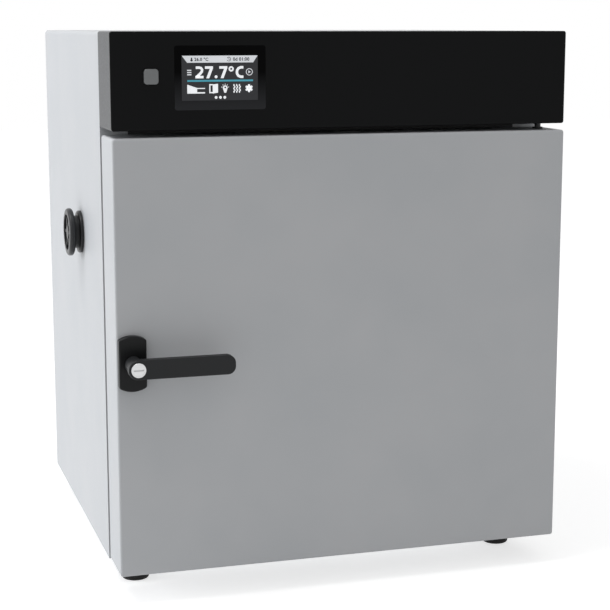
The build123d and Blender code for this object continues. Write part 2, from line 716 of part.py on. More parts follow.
def hinge_bushes():
    top = rod_z(X_HINGE, HINGE_Y, BUSH_R, Z_DOOR_TOP - BUSH_DEPTH, Z_DOOR_TOP)
    top += rod_z(X_HINGE, HINGE_Y, BUSH_FLANGE_R, Z_DOOR_TOP, Z_DOOR_TOP + BUSH_FLANGE_T)
    z_low = Z_BODY + TURN_GAP
    bottom = rod_z(X_HINGE, HINGE_Y, BUSH_R, Z_DOOR, Z_DOOR + BUSH_DEPTH)
    bottom += rod_z(X_HINGE, HINGE_Y, BUSH_FLANGE_R, z_low, Z_DOOR)
    bore = PIN_R + RUN_GAP
    top -= rod_z(X_HINGE, HINGE_Y, bore, Z_DOOR_TOP - BUSH_DEPTH - 1, Z_DOOR_TOP + BUSH_FLANGE_T + 1)
    bottom -= rod_z(X_HINGE, HINGE_Y, bore, z_low - 1, Z_DOOR + BUSH_DEPTH + 1)
    return [top, bottom]


def hinge_leaf(z0, z1, leg0, leg1):
    """A bracket's flat leaf round the pin and its leg against the cabinet's front."""
    x0, x1 = X_HINGE - BRACKET_LEFT, X_SIDE - BRACKET_INSET
    leaf = block(x0, x1, HINGE_Y - BRACKET_FRONT, 0, z0, z1)
    front = leaf.edges().filter_by(Axis.Z).sort_by(Axis.Y)[:2]
    leaf = fillet(front, BRACKET_FRONT / 3)
    return leaf + block(x0, x1, -BRACKET_T, 0, leg0, leg1)


def hinge_bracket_upper():
    z0 = Z_HEAD + SHEET
    leaf = hinge_leaf(z0, z0 + BRACKET_T, z0, z0 + BRACKET_LEG)
    return leaf + rod_z(X_HINGE, HINGE_Y, PIN_R, Z_DOOR_TOP - PIN_IN_DOOR, z0 + BRACKET_T)


def hinge_bracket_lower():
    z0 = Z_BODY - BRACKET_T
    leaf = hinge_leaf(z0, Z_BODY, z0, Z_BODY + BRACKET_LEG)
    return leaf + rod_z(X_HINGE, HINGE_Y, PIN_R, z0, Z_DOOR + PIN_IN_DOOR)


# Handle, latch and lock
def crowned_outline(width, height, crown):
    """An upright plate outline with straight sides and bowed ends."""
    x, z = width / 2, height / 2 - crown
    sides = [Line((-x, z), (-x, -z)), Line((x, -z), (x, z))]
    bows = [ThreePointArc((-x, -z), (0, -z - crown), (x, -z)), ThreePointArc((x, z), (0, z + crown), (-x, z))]
    return make_face([sides[0], bows[0], sides[1], bows[1]])


def escutcheon():
    outline = crowned_outline(ESCUTCHEON_W, ESCUTCHEON_H, ESCUTCHEON_CROWN)
    plate = facing(outline, X_HANDLE, Z_HANDLE, Y_ESCUTCHEON, Y_DOOR)
    plate = fillet(plate.edges().filter_by(Axis.Y), ESCUTCHEON_CORNER_R)
    plate = fillet(edges_at(plate, Axis.Y, Y_ESCUTCHEON), ESCUTCHEON_EDGE_R)
    return plate - shaft_hole(Y_ESCUTCHEON - 1, Y_DOOR + 1, RUN_GAP)


def handle_lever():
    y_back = Y_LEVER + LEVER_T
    bar = block(X_HANDLE, X_HANDLE + LEVER_REACH, Y_LEVER, y_back, Z_HANDLE - HUB_R, Z_HANDLE + HUB_R)
    tip = bar.edges().filter_by(Axis.Y).sort_by(Axis.X)[-2:]
    bar = fillet(tip, LEVER_TIP_R)
    bar += rod_y(X_HANDLE, Z_HANDLE, HUB_R, Y_LEVER, y_back)
    rims = edges_at(bar, Axis.Y, Y_LEVER) + edges_at(bar, Axis.Y, y_back)
    bar = fillet(rims, LEVER_EDGE_R)
    neck_r = HUB_R - LEVER_EDGE_R
    lever = bar + rod_y(X_HANDLE, Z_HANDLE, neck_r, Y_LEVER + LEVER_T / 2, Y_ESCUTCHEON - TURN_GAP)
    lever -= rod_y(X_HANDLE, Z_HANDLE, LOCK_DISC_R + RUN_GAP, Y_LEVER - 1, Y_LOCK_SEAT)
    lever -= rod_y(X_HANDLE, Z_HANDLE, LOCK_BARREL_R + RUN_GAP, Y_LEVER - 1, Y_SHAFT)
    return lever - rod_y(X_HANDLE, Z_HANDLE, SHAFT_R + RIVET_GAP, Y_SHAFT - 1, Y_DOOR)


def latch_shaft():
    return rod_y(X_HANDLE, Z_HANDLE, SHAFT_R, Y_SHAFT, Y_SHAFT_END)


def fan_outline(r0, r1, from_deg, to_deg):
    """A ring sector between two radii and two angles, counted from +x towards +z."""
    def at(r, deg):
        return (r * math.cos(math.radians(deg)), r * math.sin(math.radians(deg)))

    mid = (from_deg + to_deg) / 2
    outer = ThreePointArc(at(r1, from_deg), at(r1, mid), at(r1, to_deg))
    inner = ThreePointArc(at(r0, to_deg), at(r0, mid), at(r0, from_deg))
    ends = [Line(at(r1, to_deg), at(r0, to_deg)), Line(at(r0, from_deg), at(r1, from_deg))]
    return make_face([outer, ends[0], inner, ends[1]])


def latch_hook():
    slot_in, slot_out = STUD_ARM - SLOT_HALF, STUD_ARM + SLOT_HALF
    plate = fan_outline(slot_in / 2, HOOK_R, HOOK_FROM_DEG, SLOT_OPEN_DEG)
    plate -= fan_outline(slot_in, slot_out, SLOT_CLOSED_DEG, SLOT_OPEN_DEG + 5)
    hook = facing(plate, X_HANDLE, Z_HANDLE, Y_HOOK, Y_SHAFT_END)
    hook += rod_y(X_HANDLE, Z_HANDLE, slot_in, Y_HOOK, Y_SHAFT_END)
    return hook - rod_y(X_HANDLE, Z_HANDLE, SHAFT_R + RIVET_GAP, Y_HOOK - 1, Y_SHAFT_END + 1)


def latch_stud():
    stud = rod_y(X_HANDLE, Z_STUD, STUD_R, Y_HOOK - 1, 0)
    return stud + rod_y(X_HANDLE, Z_STUD, STUD_BASE_R, -STUD_BASE_T, 0)


def lock_cylinder():
    disc = rod_y(X_HANDLE, Z_HANDLE, LOCK_DISC_R, Y_LOCK, Y_LOCK_SEAT)
    disc = fillet(edges_at(disc, Axis.Y, Y_LOCK), LOCK_RIM_H)
    disc -= rod_y(X_HANDLE, Z_HANDLE, LOCK_RIM_R, Y_LOCK - 1, Y_LOCK + LOCK_RIM_H)
    lock = disc + rod_y(X_HANDLE, Z_HANDLE, LOCK_BARREL_R, Y_LOCK_SEAT, Y_BARREL_END)
    slot = facing(SlotOverall(KEYWAY_L, KEYWAY_W), X_HANDLE, Z_HANDLE, Y_LOCK - 1, Y_LOCK + KEYWAY_DEPTH)
    return lock - slot


# Access port
def port_flange():
    flange = rod_x(PORT_Y, Z_PORT, PORT_FLANGE_R, -X_SIDE - PORT_FLANGE_T, -X_SIDE)
    flange = fillet(edges_at(flange, Axis.X, -X_SIDE - PORT_FLANGE_T), PORT_FLANGE_T / 2)
    flange += rod_x(PORT_Y, Z_PORT, PORT_NECK_R, X_NECK, -X_SIDE)
    return flange - rod_x(PORT_Y, Z_PORT, PORT_SEAT_R, X_NECK - 1, -X_SIDE + 1)


def port_liner():
    tube = rod_x(PORT_Y, Z_PORT, PORT_TUBE_R, -X_SIDE, -X_CH)
    tube += rod_x(PORT_Y, Z_PORT, PORT_INNER_FLANGE_R, -X_CH, -X_CH + PORT_INNER_FLANGE_T)
    return tube - rod_x(PORT_Y, Z_PORT, PORT_BORE_R, -X_SIDE - 1, -X_CH + PORT_INNER_FLANGE_T + 1)


def port_cap():
    cap = rod_x(PORT_Y, Z_PORT, PORT_CAP_R, X_CAP_OUT, X_CAP_IN)
    rims = edges_at(cap, Axis.X, X_CAP_OUT) + edges_at(cap, Axis.X, X_CAP_IN)
    cap = fillet(rims, PORT_CAP_T * 0.4)
    floor = X_CAP_OUT + PORT_CAP_RECESS
    cap -= rod_x(PORT_Y, Z_PORT, PORT_CAP_R - PORT_CAP_RIM, X_CAP_OUT - 1, floor)
    cap += rod_x(PORT_Y, Z_PORT, PORT_CAP_HUB_R, X_CAP_OUT + PORT_CAP_RECESS / 3, floor + 1)
    reach = PORT_CAP_R - PORT_CAP_RIM + 1
    half = PORT_CAP_RIB_W / 2
    rib = block(X_CAP_OUT + PORT_CAP_RECESS / 2, floor + 1, 0, reach, -half, half)
    for i in range(PORT_CAP_RIBS):
        cap += Pos(0, PORT_Y, Z_PORT) * Rot(i * 360 / PORT_CAP_RIBS, 0, 0) * rib
    return cap - rod_x(PORT_Y, Z_PORT, PORT_STEM_R + RIVET_GAP, floor + SHEET, X_CAP_IN + 1)


def port_plug():
    stem_end = X_CAP_OUT + PORT_CAP_RECESS + SHEET
    plug = rod_x(PORT_Y, Z_PORT, PORT_SEAT_R - RUN_GAP, X_CAP_IN, X_PLUG_END)
    plug = chamfer(edges_at(plug, Axis.X, X_PLUG_END), SHEET)
    return plug + rod_x(PORT_Y, Z_PORT, PORT_STEM_R, stem_end, X_CAP_IN)


# Feet
def rubber_feet():
    feet = []
    for x, y in foot_places():
        foot = Pos(x, y, FOOT_H / 2) * Cone(FOOT_R - FOOT_TAPER, FOOT_R, FOOT_H)
        foot = fillet(edges_at(foot, Axis.Z, 0), FOOT_TAPER)
        foot -= rod_z(x, y, FOOT_RECESS_R, -1, FOOT_RECESS_H)
        feet.append(foot - rod_z(x, y, FOOT_SCREW_R + RIVET_GAP, 0, FOOT_H + 1))
    return feet


def foot_screws():
    screws = []
    for x, y in foot_places():
        head = rod_z(x, y, FOOT_SCREW_HEAD_R, FOOT_RECESS_H - FOOT_SCREW_HEAD_H, FOOT_RECESS_H)
        shank = rod_z(x, y, FOOT_SCREW_R, FOOT_RECESS_H, Z_BODY + SHEET + FOOT_SCREW_ABOVE_PAN)
        screws.append(head + shank)
    return screws


# Inside the chamber
def rack_level(i):
    return Z_CH + RACK_FIRST + i * RACK_PITCH


def shelf_rack(side):
    """Two posts and the runners that the shelves slide on, on one chamber wall."""
    def across(x0, x1, y0, y1, z0, z1):
        a, b = sorted((side * (X_CH - x0), side * (X_CH - x1)))
        return block(a, b, y0, y1, z0, z1)

    low, high = Z_CH + RACK_END, Z_CH_TOP - RACK_END
    posts = (RACK_POST_FRONT, Y_BAFFLE - RACK_POST_BACK)
    pieces = [across(0, RACK_T, y, y + RACK_POST_W, low, high) for y in posts]
    y0, y1 = RACK_FRONT, Y_BAFFLE - RACK_BACK
    for i in range(RACK_LEVELS):
        z = rack_level(i)
        pieces.append(across(RACK_T, 2 * RACK_T, y0, y1, z, z + RACK_SIDE_H))
        pieces.append(across(RACK_T, RACK_T + RACK_LEDGE, y0, y1, z, z + RACK_T))
    return union(pieces)


def wire_shelf(level):
    """A wire shelf: a round-rod rim, cross rods and the wires that lie on them."""
    half = X_CH - 2 * RACK_T - SHELF_SIDE_GAP - SHELF_ROD_R
    y0, y1 = RACK_FRONT + SHELF_ROD_R, Y_BAFFLE - RACK_BACK - SHELF_ROD_R
    z = rack_level(level) + RACK_T + TURN_GAP + SHELF_ROD_R
    r = SHELF_ROD_R
    pieces = [rod_y(x, z, r, y0, y1) for x in (-half, half)]
    pieces += [rod_x(y, z, r, -half, half) for y in (y0, y1)]
    pieces += [Pos(x, y, z) * Sphere(r) for x in (-half, half) for y in (y0, y1)]
    step = (y1 - y0) / (SHELF_CROSS + 1)
    pieces += [rod_x(y0 + step * (i + 1), z, r * 0.8, -half, half) for i in range(SHELF_CROSS)]
    pitch = 2 * half / (SHELF_WIRES + 1)
    top = z + r + SHELF_WIRE_R * 0.2
    for i in range(SHELF_WIRES):
        pieces.append(rod_y(-half + pitch * (i + 1), top - SHELF_WIRE_R, SHELF_WIRE_R, y0 - 1, y1 + 1))
    return union(pieces)


def air_baffle():
    out = X_CH - TURN_GAP
    z0, z1 = Z_CH + TURN_GAP, Z_CH_TOP - TURN_GAP
    baffle = block(-out, out, Y_BAFFLE, Y_BAFFLE + BAFFLE_T, z0, z1)
    for side in (-1, 1):
        inner, outer = sorted((side * (out - BAFFLE_T), side * out))
        baffle += block(inner, outer, Y_BAFFLE, Y_CH_BACK - TURN_GAP, z0, z1)
    y0, y1 = Y_BAFFLE - 1, Y_BAFFLE + BAFFLE_T + 1
    holes = [rod_y(0, Z_FAN, BAFFLE_HOLE_R, y0, y1)]
    for ring in range(1, BAFFLE_HOLE_RINGS + 1):
        radius = ring * BAFFLE_HOLE_PITCH
        count = 6 * ring
        for i in range(count):
            turn = 2 * math.pi * i / count
            x, z = radius * math.cos(turn), Z_FAN + radius * math.sin(turn)
            holes.append(rod_y(x, z, BAFFLE_HOLE_R, y0, y1))
    slot = SlotOverall(BAFFLE_SLOT_PITCH - BAFFLE_SLOT_GAP, BAFFLE_SLOT_H)
    for i in range(BAFFLE_SLOTS):
        x = (i - (BAFFLE_SLOTS - 1) / 2) * BAFFLE_SLOT_PITCH
        for z in (Z_CH + BAFFLE_SLOT_INSET, Z_CH + 2 * BAFFLE_SLOT_INSET):
            holes.append(facing(slot, x, z, y0, y1))
    holes.append(rod_y(PROBE_X, Z_FAN, PROBE_R + HOLE_GAP, y0, y1))
    return baffle - holes


def temperature_probe():
    probe = rod_y(PROBE_X, Z_FAN, PROBE_R, Y_BAFFLE - PROBE_L, Y_BAFFLE + BAFFLE_T + PROBE_GLAND_T)
    probe = fillet(edges_at(probe, Axis.Y, Y_BAFFLE - PROBE_L), PROBE_R * 0.9)
    gland = RegularPolygon(PROBE_GLAND_R, 6)
    return probe + facing(gland, PROBE_X, Z_FAN, Y_BAFFLE - PROBE_GLAND_T, Y_BAFFLE)


def chamber_lamp():
    half = LAMP_W / 2
    lamp = block(-half, half, LAMP_Y, LAMP_Y + LAMP_D, Z_CH_TOP - LAMP_H, Z_CH_TOP)
    return fillet(edges_at(lamp, Axis.Z, Z_CH_TOP - LAMP_H), LAMP_EDGE_R)


def circulation_fan():
    wheel = rod_y(0, Z_FAN, IMPELLER_R, Y_IMPELLER_BACK - IMPELLER_PLATE_T, Y_IMPELLER_BACK)
    pieces = [wheel, rod_y(0, Z_FAN, IMPELLER_HUB_R, Y_IMPELLER, Y_IMPELLER_BACK)]
    half = IMPELLER_BLADE_T / 2
    y_root = Y_IMPELLER_BACK - IMPELLER_PLATE_T / 2
    rim = IMPELLER_RIM
    blade = block(IMPELLER_HUB_R - rim, IMPELLER_R - rim, Y_IMPELLER + rim, y_root, -half, half)
    for i in range(IMPELLER_BLADES):
        pieces.append(Pos(0, 0, Z_FAN) * Rot(0, i * 360 / IMPELLER_BLADES, 0) * blade)
    bore = rod_y(0, Z_FAN, FAN_SHAFT_R + RIVET_GAP, Y_IMPELLER - 1, Y_IMPELLER_BACK + 1)
    return union(pieces) - bore


def fan_shaft():
    return rod_y(0, Z_FAN, FAN_SHAFT_R, Y_IMPELLER - FAN_SHAFT_PROUD, Y_WALL_BACK + MOTOR_L - SHEET)


def circulation_fan_motor():
    half = MOTOR_PLATE / 2
    motor = block(-half, half, Y_WALL_BACK, Y_WALL_BACK + MOTOR_PLATE_T, Z_FAN - half, Z_FAN + half)
    can = rod_y(0, Z_FAN, MOTOR_R, Y_WALL_BACK, Y_WALL_BACK + MOTOR_L)
    can = fillet(edges_at(can, Axis.Y, Y_WALL_BACK + MOTOR_L), MOTOR_PLATE_T)
    bore = rod_y(0, Z_FAN, FAN_SHAFT_R + RUN_GAP, Y_WALL_BACK - 1, Y_WALL_BACK + MOTOR_L - SHEET / 2)
    return motor + can - bore


def heater_element():
    y = (Y_IMPELLER + Y_IMPELLER_BACK) / 2
    plane = Plane(origin=(0, y, Z_FAN), x_dir=(1, 0, 0), z_dir=(0, -1, 0))
    start = -90 + HEATER_OPEN_DEG
    arc = CenterArc((0, 0), HEATER_R, start, 360 - 2 * HEATER_OPEN_DEG)
    section = Plane(origin=arc @ 0, z_dir=arc % 0) * Circle(HEATER_TUBE_R)
    pieces = [plane.location * sweep(section, path=arc)]
    for sign in (-1, 1):
        turn = math.radians(HEATER_OPEN_DEG)
        x, z = sign * HEATER_R * math.sin(turn), Z_FAN - HEATER_R * math.cos(turn)
        pieces.append(rod_y(x, z, HEATER_LEG_R, y - HEATER_LEG_R, Y_CH_BACK))
        pieces.append(rod_y(x, z, HEATER_FLANGE_R, Y_CH_BACK - HEATER_FLANGE_T, Y_CH_BACK))
    return union(pieces)


# Cooling
def heatsink(width, height, y_base0, y_base1, y_fin, fins):
    """A flat base with upright fins between it and the plane y_fin."""
    half_w, half_h = width / 2, height / 2
    pieces = [block(-half_w, half_w, y_base0, y_base1, Z_COOLER - half_h, Z_COOLER + half_h)]
    y0, y1 = sorted(((y_base0 + y_base1) / 2, y_fin))
    pitch = (width - FIN_T) / (fins - 1)
    for i in range(fins):
        x = -half_w + i * pitch
        pieces.append(block(x, x + FIN_T, y0, y1, Z_COOLER - half_h, Z_COOLER + half_h))
    return union(pieces)


def cold_heatsink():
    y1 = Y_CH_BACK
    y0 = y1 - COLD_BASE_T
    return heatsink(COLD_SINK_W, COLD_SINK_H, y0, y1, y0 - COLD_FIN_L, COLD_FINS)


def hot_heatsink():
    y0 = Y_WALL_BACK
    return heatsink(HOT_SINK_W, HOT_SINK_H, y0, y0 + HOT_BASE_T, Y_EXHAUST, HOT_FINS)


def peltier_module():
    half, y_tile = BLOCK_HALF, Y_WALL_BACK - TILE_T
    conductor = block(-half, half, Y_CH_BACK, y_tile, Z_COOLER - half, Z_COOLER + half)
    tile = block(-TILE_HALF, TILE_HALF, y_tile, Y_WALL_BACK, Z_COOLER - TILE_HALF, Z_COOLER + TILE_HALF)
    return [conductor, tile]


def exhaust_fan_frame():
    outline = RectangleRounded(EXHAUST_FAN_W, EXHAUST_FAN_W, EXHAUST_CORNER_R)
    frame = facing(outline, 0, Z_COOLER, Y_EXHAUST, Y_REAR)
    frame -= rod_y(0, Z_COOLER, EXHAUST_BORE_R, Y_EXHAUST - 1, Y_REAR + 1)
    y1 = Y_EXHAUST + EXHAUST_BOSS_T
    frame += rod_y(0, Z_COOLER, EXHAUST_BOSS_R, Y_EXHAUST, y1)
    half = EXHAUST_STRUT_W / 2
    strut = block(EXHAUST_BOSS_R - 1, EXHAUST_BORE_R + 1, Y_EXHAUST, y1, -half, half)
    for i in range(EXHAUST_STRUTS):
        frame += Pos(0, 0, Z_COOLER) * Rot(0, 45 + i * 360 / EXHAUST_STRUTS, 0) * strut
    for x, z in fan_screw_places():
        frame -= rod_y(x, z, PANEL_SCREW_R + HOLE_GAP, Y_EXHAUST - 1, Y_REAR + 1)
    return frame - rod_y(0, Z_COOLER, EXHAUST_AXLE_R + RUN_GAP, Y_EXHAUST - 1, y1 + 1)


def exhaust_fan_rotor():
    y0, y1 = Y_EXHAUST + EXHAUST_BOSS_T + TURN_GAP, Y_REAR - 2 * TURN_GAP
    pieces = [rod_y(0, Z_COOLER, EXHAUST_HUB_R, y0, y1)]
    pieces.append(rod_y(0, Z_COOLER, EXHAUST_AXLE_R, Y_EXHAUST + TURN_GAP, y1))
    long = EXHAUST_BORE_R - EXHAUST_TIP_GAP
    depth = (y1 - y0) * 0.8
    half = EXHAUST_BLADE_T / 2
    flat = block(EXHAUST_HUB_R - EXHAUST_BLADE_T, long, -depth / 2, depth / 2, -half, half)
    blade = Rot(EXHAUST_BLADE_DEG, 0, 0) * flat
    tip = rod_y(0, Z_COOLER, long, y0 + TURN_GAP, y1)
    for i in range(EXHAUST_BLADES):
        turned = Pos(0, (y0 + y1) / 2, Z_COOLER) * Rot(0, i * 360 / EXHAUST_BLADES, 0) * blade
        pieces.append(turned & tip)
    return union(pieces)


def fan_guard():
    """Wire rings joined by four spokes, which end in flat eyes under the screws."""
    first, last = EXHAUST_BOSS_R, EXHAUST_BORE_R
    plane = Plane(origin=(0, Y_GUARD, Z_COOLER), x_dir=(1, 0, 0), z_dir=(0, -1, 0))
    pieces = []
    for i in range(GUARD_RINGS):
        radius = first + (last - first) * i / (GUARD_RINGS - 1)
        pieces.append(plane.location * Torus(radius, GUARD_WIRE_R))
    start = first - 2 * GUARD_WIRE_R
    end = EXHAUST_SCREW_PITCH / 2 * math.sqrt(2) - PANEL_SCREW_HEAD_R - HOLE_GAP
    spoke = Pos((start + end) / 2, 0, 0) * Rot(0, 90, 0) * Cylinder(GUARD_WIRE_R, end - start)
    for i in range(GUARD_SPOKES):
        pieces.append(Pos(0, Y_SPOKE, Z_COOLER) * Rot(0, 45 + i * 360 / GUARD_SPOKES, 0) * spoke)
    for x, z in fan_screw_places():
        eye = rod_y(x, z, GUARD_EYE_R, BODY_D, Y_GUARD_FACE)
        pieces.append(eye - rod_y(x, z, PANEL_SCREW_R + HOLE_GAP, BODY_D - 1, Y_GUARD_FACE + 1))
    return union(pieces)


# Electronics
def board_corners():
    x, y = BOARD_W / 2 - STANDOFF_INSET, BOARD_D / 2 - STANDOFF_INSET
    return [(BOARD_X + sx * x, BOARD_Y + sy * y) for sx in (-1, 1) for sy in (-1, 1)]


def board_standoffs():
    z = Z_BAY + SHEET
    return [rod_z(x, y, STANDOFF_R, z, z + STANDOFF_H) for x, y in board_corners()]


def main_board():
    z0 = Z_BAY + SHEET + STANDOFF_H
    z1 = z0 + BOARD_T
    half_w, half_d = BOARD_W / 2, BOARD_D / 2
    board = block(BOARD_X - half_w, BOARD_X + half_w, BOARD_Y - half_d, BOARD_Y + half_d, z0, z1)
    for x, y, w, d, h in BOARD_PARTS:
        cx, cy = BOARD_X + x * BOARD_W, BOARD_Y + y * BOARD_D
        wide, deep = w * BOARD_W / 2, d * BOARD_D / 2
        board += block(cx - wide, cx + wide, cy - deep, cy + deep, z1, z1 + h * STANDOFF_H)
    return board


def power_supply():
    z = Z_BAY + SHEET
    half_w, half_d = SUPPLY_W / 2, SUPPLY_D / 2
    return block(SUPPLY_X - half_w, SUPPLY_X + half_w, SUPPLY_Y - half_d, SUPPLY_Y + half_d, z, z + SUPPLY_H)


def mains_inlet():
    def plate(half_w, half_h, y0, y1, z):
        return block(INLET_X - half_w, INLET_X + half_w, y0, y1, z - half_h, z + half_h)

    half_w, half_h = INLET_W / 2, INLET_H / 2
    y_face = BODY_D + INLET_FLANGE_T
    body = plate(half_w, half_h, BODY_D - INLET_BODY_L, BODY_D, Z_INLET)
    flange = plate(half_w + INLET_FLANGE, half_h + INLET_FLANGE, BODY_D, y_face, Z_INLET)
    flange = fillet(flange.edges().filter_by(Axis.Y), INLET_FLANGE / 2)
    z = Z_INLET + INLET_SOCKET_UP
    y0 = y_face - INLET_SOCKET_DEPTH
    body = body + flange
    body -= plate(INLET_SOCKET_W / 2, INLET_SOCKET_H / 2, y0, y_face + 1, z)
    body += plate(FUSE_W / 2, FUSE_H / 2, y_face, y_face + FUSE_PROUD, Z_INLET - INLET_SOCKET_UP)
    pins = []
    for x, up in ((-INLET_PIN_PITCH, -1), (0, 1), (INLET_PIN_PITCH, -1)):
        pin = plate(INLET_PIN_T / 2, INLET_PIN_W / 2, y0, y0 + INLET_PIN_OUT, z + up * INLET_PIN_T)
        pins.append(Pos(x, 0, 0) * pin)
    return [body] + pins


def data_ports():
    def plate(x, half_w, half_h, y0, y1):
        return block(x - half_w, x + half_w, y0, y1, Z_INLET - half_h, Z_INLET + half_h)

    half_w, half_h = PORTS_W / 2, PORTS_H / 2
    y_face = BODY_D + PORTS_FLANGE_T
    body = plate(PORTS_X, half_w, half_h, BODY_D - PORTS_BODY_L, BODY_D)
    body += plate(PORTS_X, half_w + PORTS_FLANGE, half_h + PORTS_FLANGE, BODY_D, y_face)
    y0 = y_face - SOCKET_DEPTH
    net, usb = PORTS_X - PORTS_W / 4, PORTS_X + PORTS_W / 4
    body -= plate(net, NET_SOCKET_W / 2, NET_SOCKET_H / 2, y0, y_face + 1)
    body -= plate(usb, USB_SOCKET_W / 2, USB_SOCKET_H / 2, y0, y_face + 1)
    tongue = USB_SOCKET_W / 2 - USB_TONGUE_SIDE
    return body + plate(usb, tongue, USB_TONGUE_T / 2, y0, y_face - USB_TONGUE_SIDE)


PIECES = {
    "outer_wrap": outer_wrap,
    "base_pan": base_pan,
    "rear_panel": rear_panel,
    "rear_panel_screws": rear_panel_screws,
    "front_frame": front_frame,
    "breaker_frame": breaker_frame,
    "chamber_liner": chamber_liner,
    "insulation_left": lambda: insulation_side(-1),
    "insulation_right": lambda: insulation_side(1),
    "insulation_top": insulation_top,
    "insulation_bottom": insulation_bottom,
    "insulation_rear": insulation_rear,
    "bay_floor": bay_floor,
    "head_housing": head_housing,
    "fascia_panel": fascia_panel,
    "display_glass": display_glass,
    "display_module": display_module,
    "power_button": power_button,
    "button_switch": button_switch,
    "door_skin": door_skin,
    "door_insulation": door_insulation,
    "door_inner_panel": door_inner_panel,
    "door_gasket": door_gasket,
    "hinge_bushes": hinge_bushes,
    "hinge_bracket_upper": hinge_bracket_upper,
    "hinge_bracket_lower": hinge_bracket_lower,
    "escutcheon": escutcheon,
    "handle_lever": handle_lever,
    "latch_shaft": latch_shaft,
    "latch_hook": latch_hook,
    "latch_stud": latch_stud,
    "lock_cylinder": lock_cylinder,
    "port_flange": port_flange,
    "port_liner": port_liner,
    "port_cap": port_cap,
    "port_plug": port_plug,
    "rubber_feet": rubber_feet,
    "foot_screws": foot_screws,
    "shelf_rack_left": lambda: shelf_rack(-1),
    "shelf_rack_right": lambda: shelf_rack(1),
    "shelf_lower": lambda: wire_shelf(SHELF_LEVELS[0]),
    "shelf_upper": lambda: wire_shelf(SHELF_LEVELS[1]),
    "air_baffle": air_baffle,
    "temperature_probe": temperature_probe,
    "chamber_lamp": chamber_lamp,
    "circulation_fan": circulation_fan,
    "fan_shaft": fan_shaft,
    "circulation_fan_motor": circulation_fan_motor,
    "heater_element": heater_element,
    "cold_heatsink": cold_heatsink,
    "hot_heatsink": hot_heatsink,
    "peltier_module": peltier_module,
    "exhaust_fan_frame": exhaust_fan_frame,
    "exhaust_fan_rotor": exhaust_fan_rotor,
    "fan_guard": fan_guard,
    "board_standoffs": board_standoffs,
    "main_board": main_board,
    "power_supply": power_supply,
    "mains_inlet": mains_inlet,
    "data_ports": data_ports,
}


def solids_of(made):
    """The solids of a piece, moved so that the origin is the middle of the box's bottom."""
    shapes = made if isinstance(made, list) else [made]
    return [Pos(-X_MID, -Y_MID, 0) * solid for shape in shapes for solid in shape.solids()]


os.makedirs("parts", exist_ok=True)
for name, make in PIECES.items():
    solids = solids_of(make())
    export_step(Compound(solids) if len(solids) > 1 else solids[0], f"parts/{name}.step")
print(f"{len(PIECES)} pieces; origin shifted by {-X_MID:.3f}, {-Y_MID:.3f}")
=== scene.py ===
import logging
import math
from dataclasses import dataclass, field
from enum import Enum

import bmesh
import bpy
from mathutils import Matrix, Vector


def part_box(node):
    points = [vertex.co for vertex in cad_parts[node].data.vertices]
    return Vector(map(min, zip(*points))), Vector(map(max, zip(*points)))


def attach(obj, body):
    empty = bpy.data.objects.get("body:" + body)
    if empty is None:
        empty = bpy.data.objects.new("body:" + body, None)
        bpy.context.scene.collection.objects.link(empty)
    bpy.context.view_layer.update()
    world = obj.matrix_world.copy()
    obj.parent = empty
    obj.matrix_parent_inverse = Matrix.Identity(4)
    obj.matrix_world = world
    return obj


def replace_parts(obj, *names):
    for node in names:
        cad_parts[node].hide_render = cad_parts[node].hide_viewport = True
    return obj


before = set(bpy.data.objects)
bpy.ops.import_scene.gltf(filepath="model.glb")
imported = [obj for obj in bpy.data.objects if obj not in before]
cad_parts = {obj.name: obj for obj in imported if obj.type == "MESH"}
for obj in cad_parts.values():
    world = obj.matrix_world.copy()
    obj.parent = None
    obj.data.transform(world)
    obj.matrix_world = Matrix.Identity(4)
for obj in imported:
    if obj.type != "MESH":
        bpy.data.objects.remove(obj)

# Dresses a bench-top laboratory incubator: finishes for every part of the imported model, a lit
# touch display, a bellows door gasket and the small screws, in a plain pale studio.

log = logging.getLogger("incubator")

Colour = tuple[float, float, float]
Point2 = tuple[float, float]
Point3 = tuple[float, float, float]


class Grain(Enum):
    """What breaks up a surface when it is looked at closely."""

    PEEL = "the orange peel of powder coat"
    MOULDED = "the fine texture that a mould leaves on plastic"
    BRUSHED = "long lines left by brushing"
    SPANGLE = "zinc crystals"
    FIBRE = "felted mineral fibres"
    TRACKS = "copper tracks under green lacquer"
    POLISHED = "a gloss with the faintest waviness"


class Along(Enum):
    """The direction that a brushed surface's lines run in, as the stretch of its grain."""

    X = (0.02, 1.0, 1.0)
    Y = (1.0, 0.02, 1.0)
    Z = (1.0, 1.0, 0.02)
    NONE = (1.0, 1.0, 1.0)


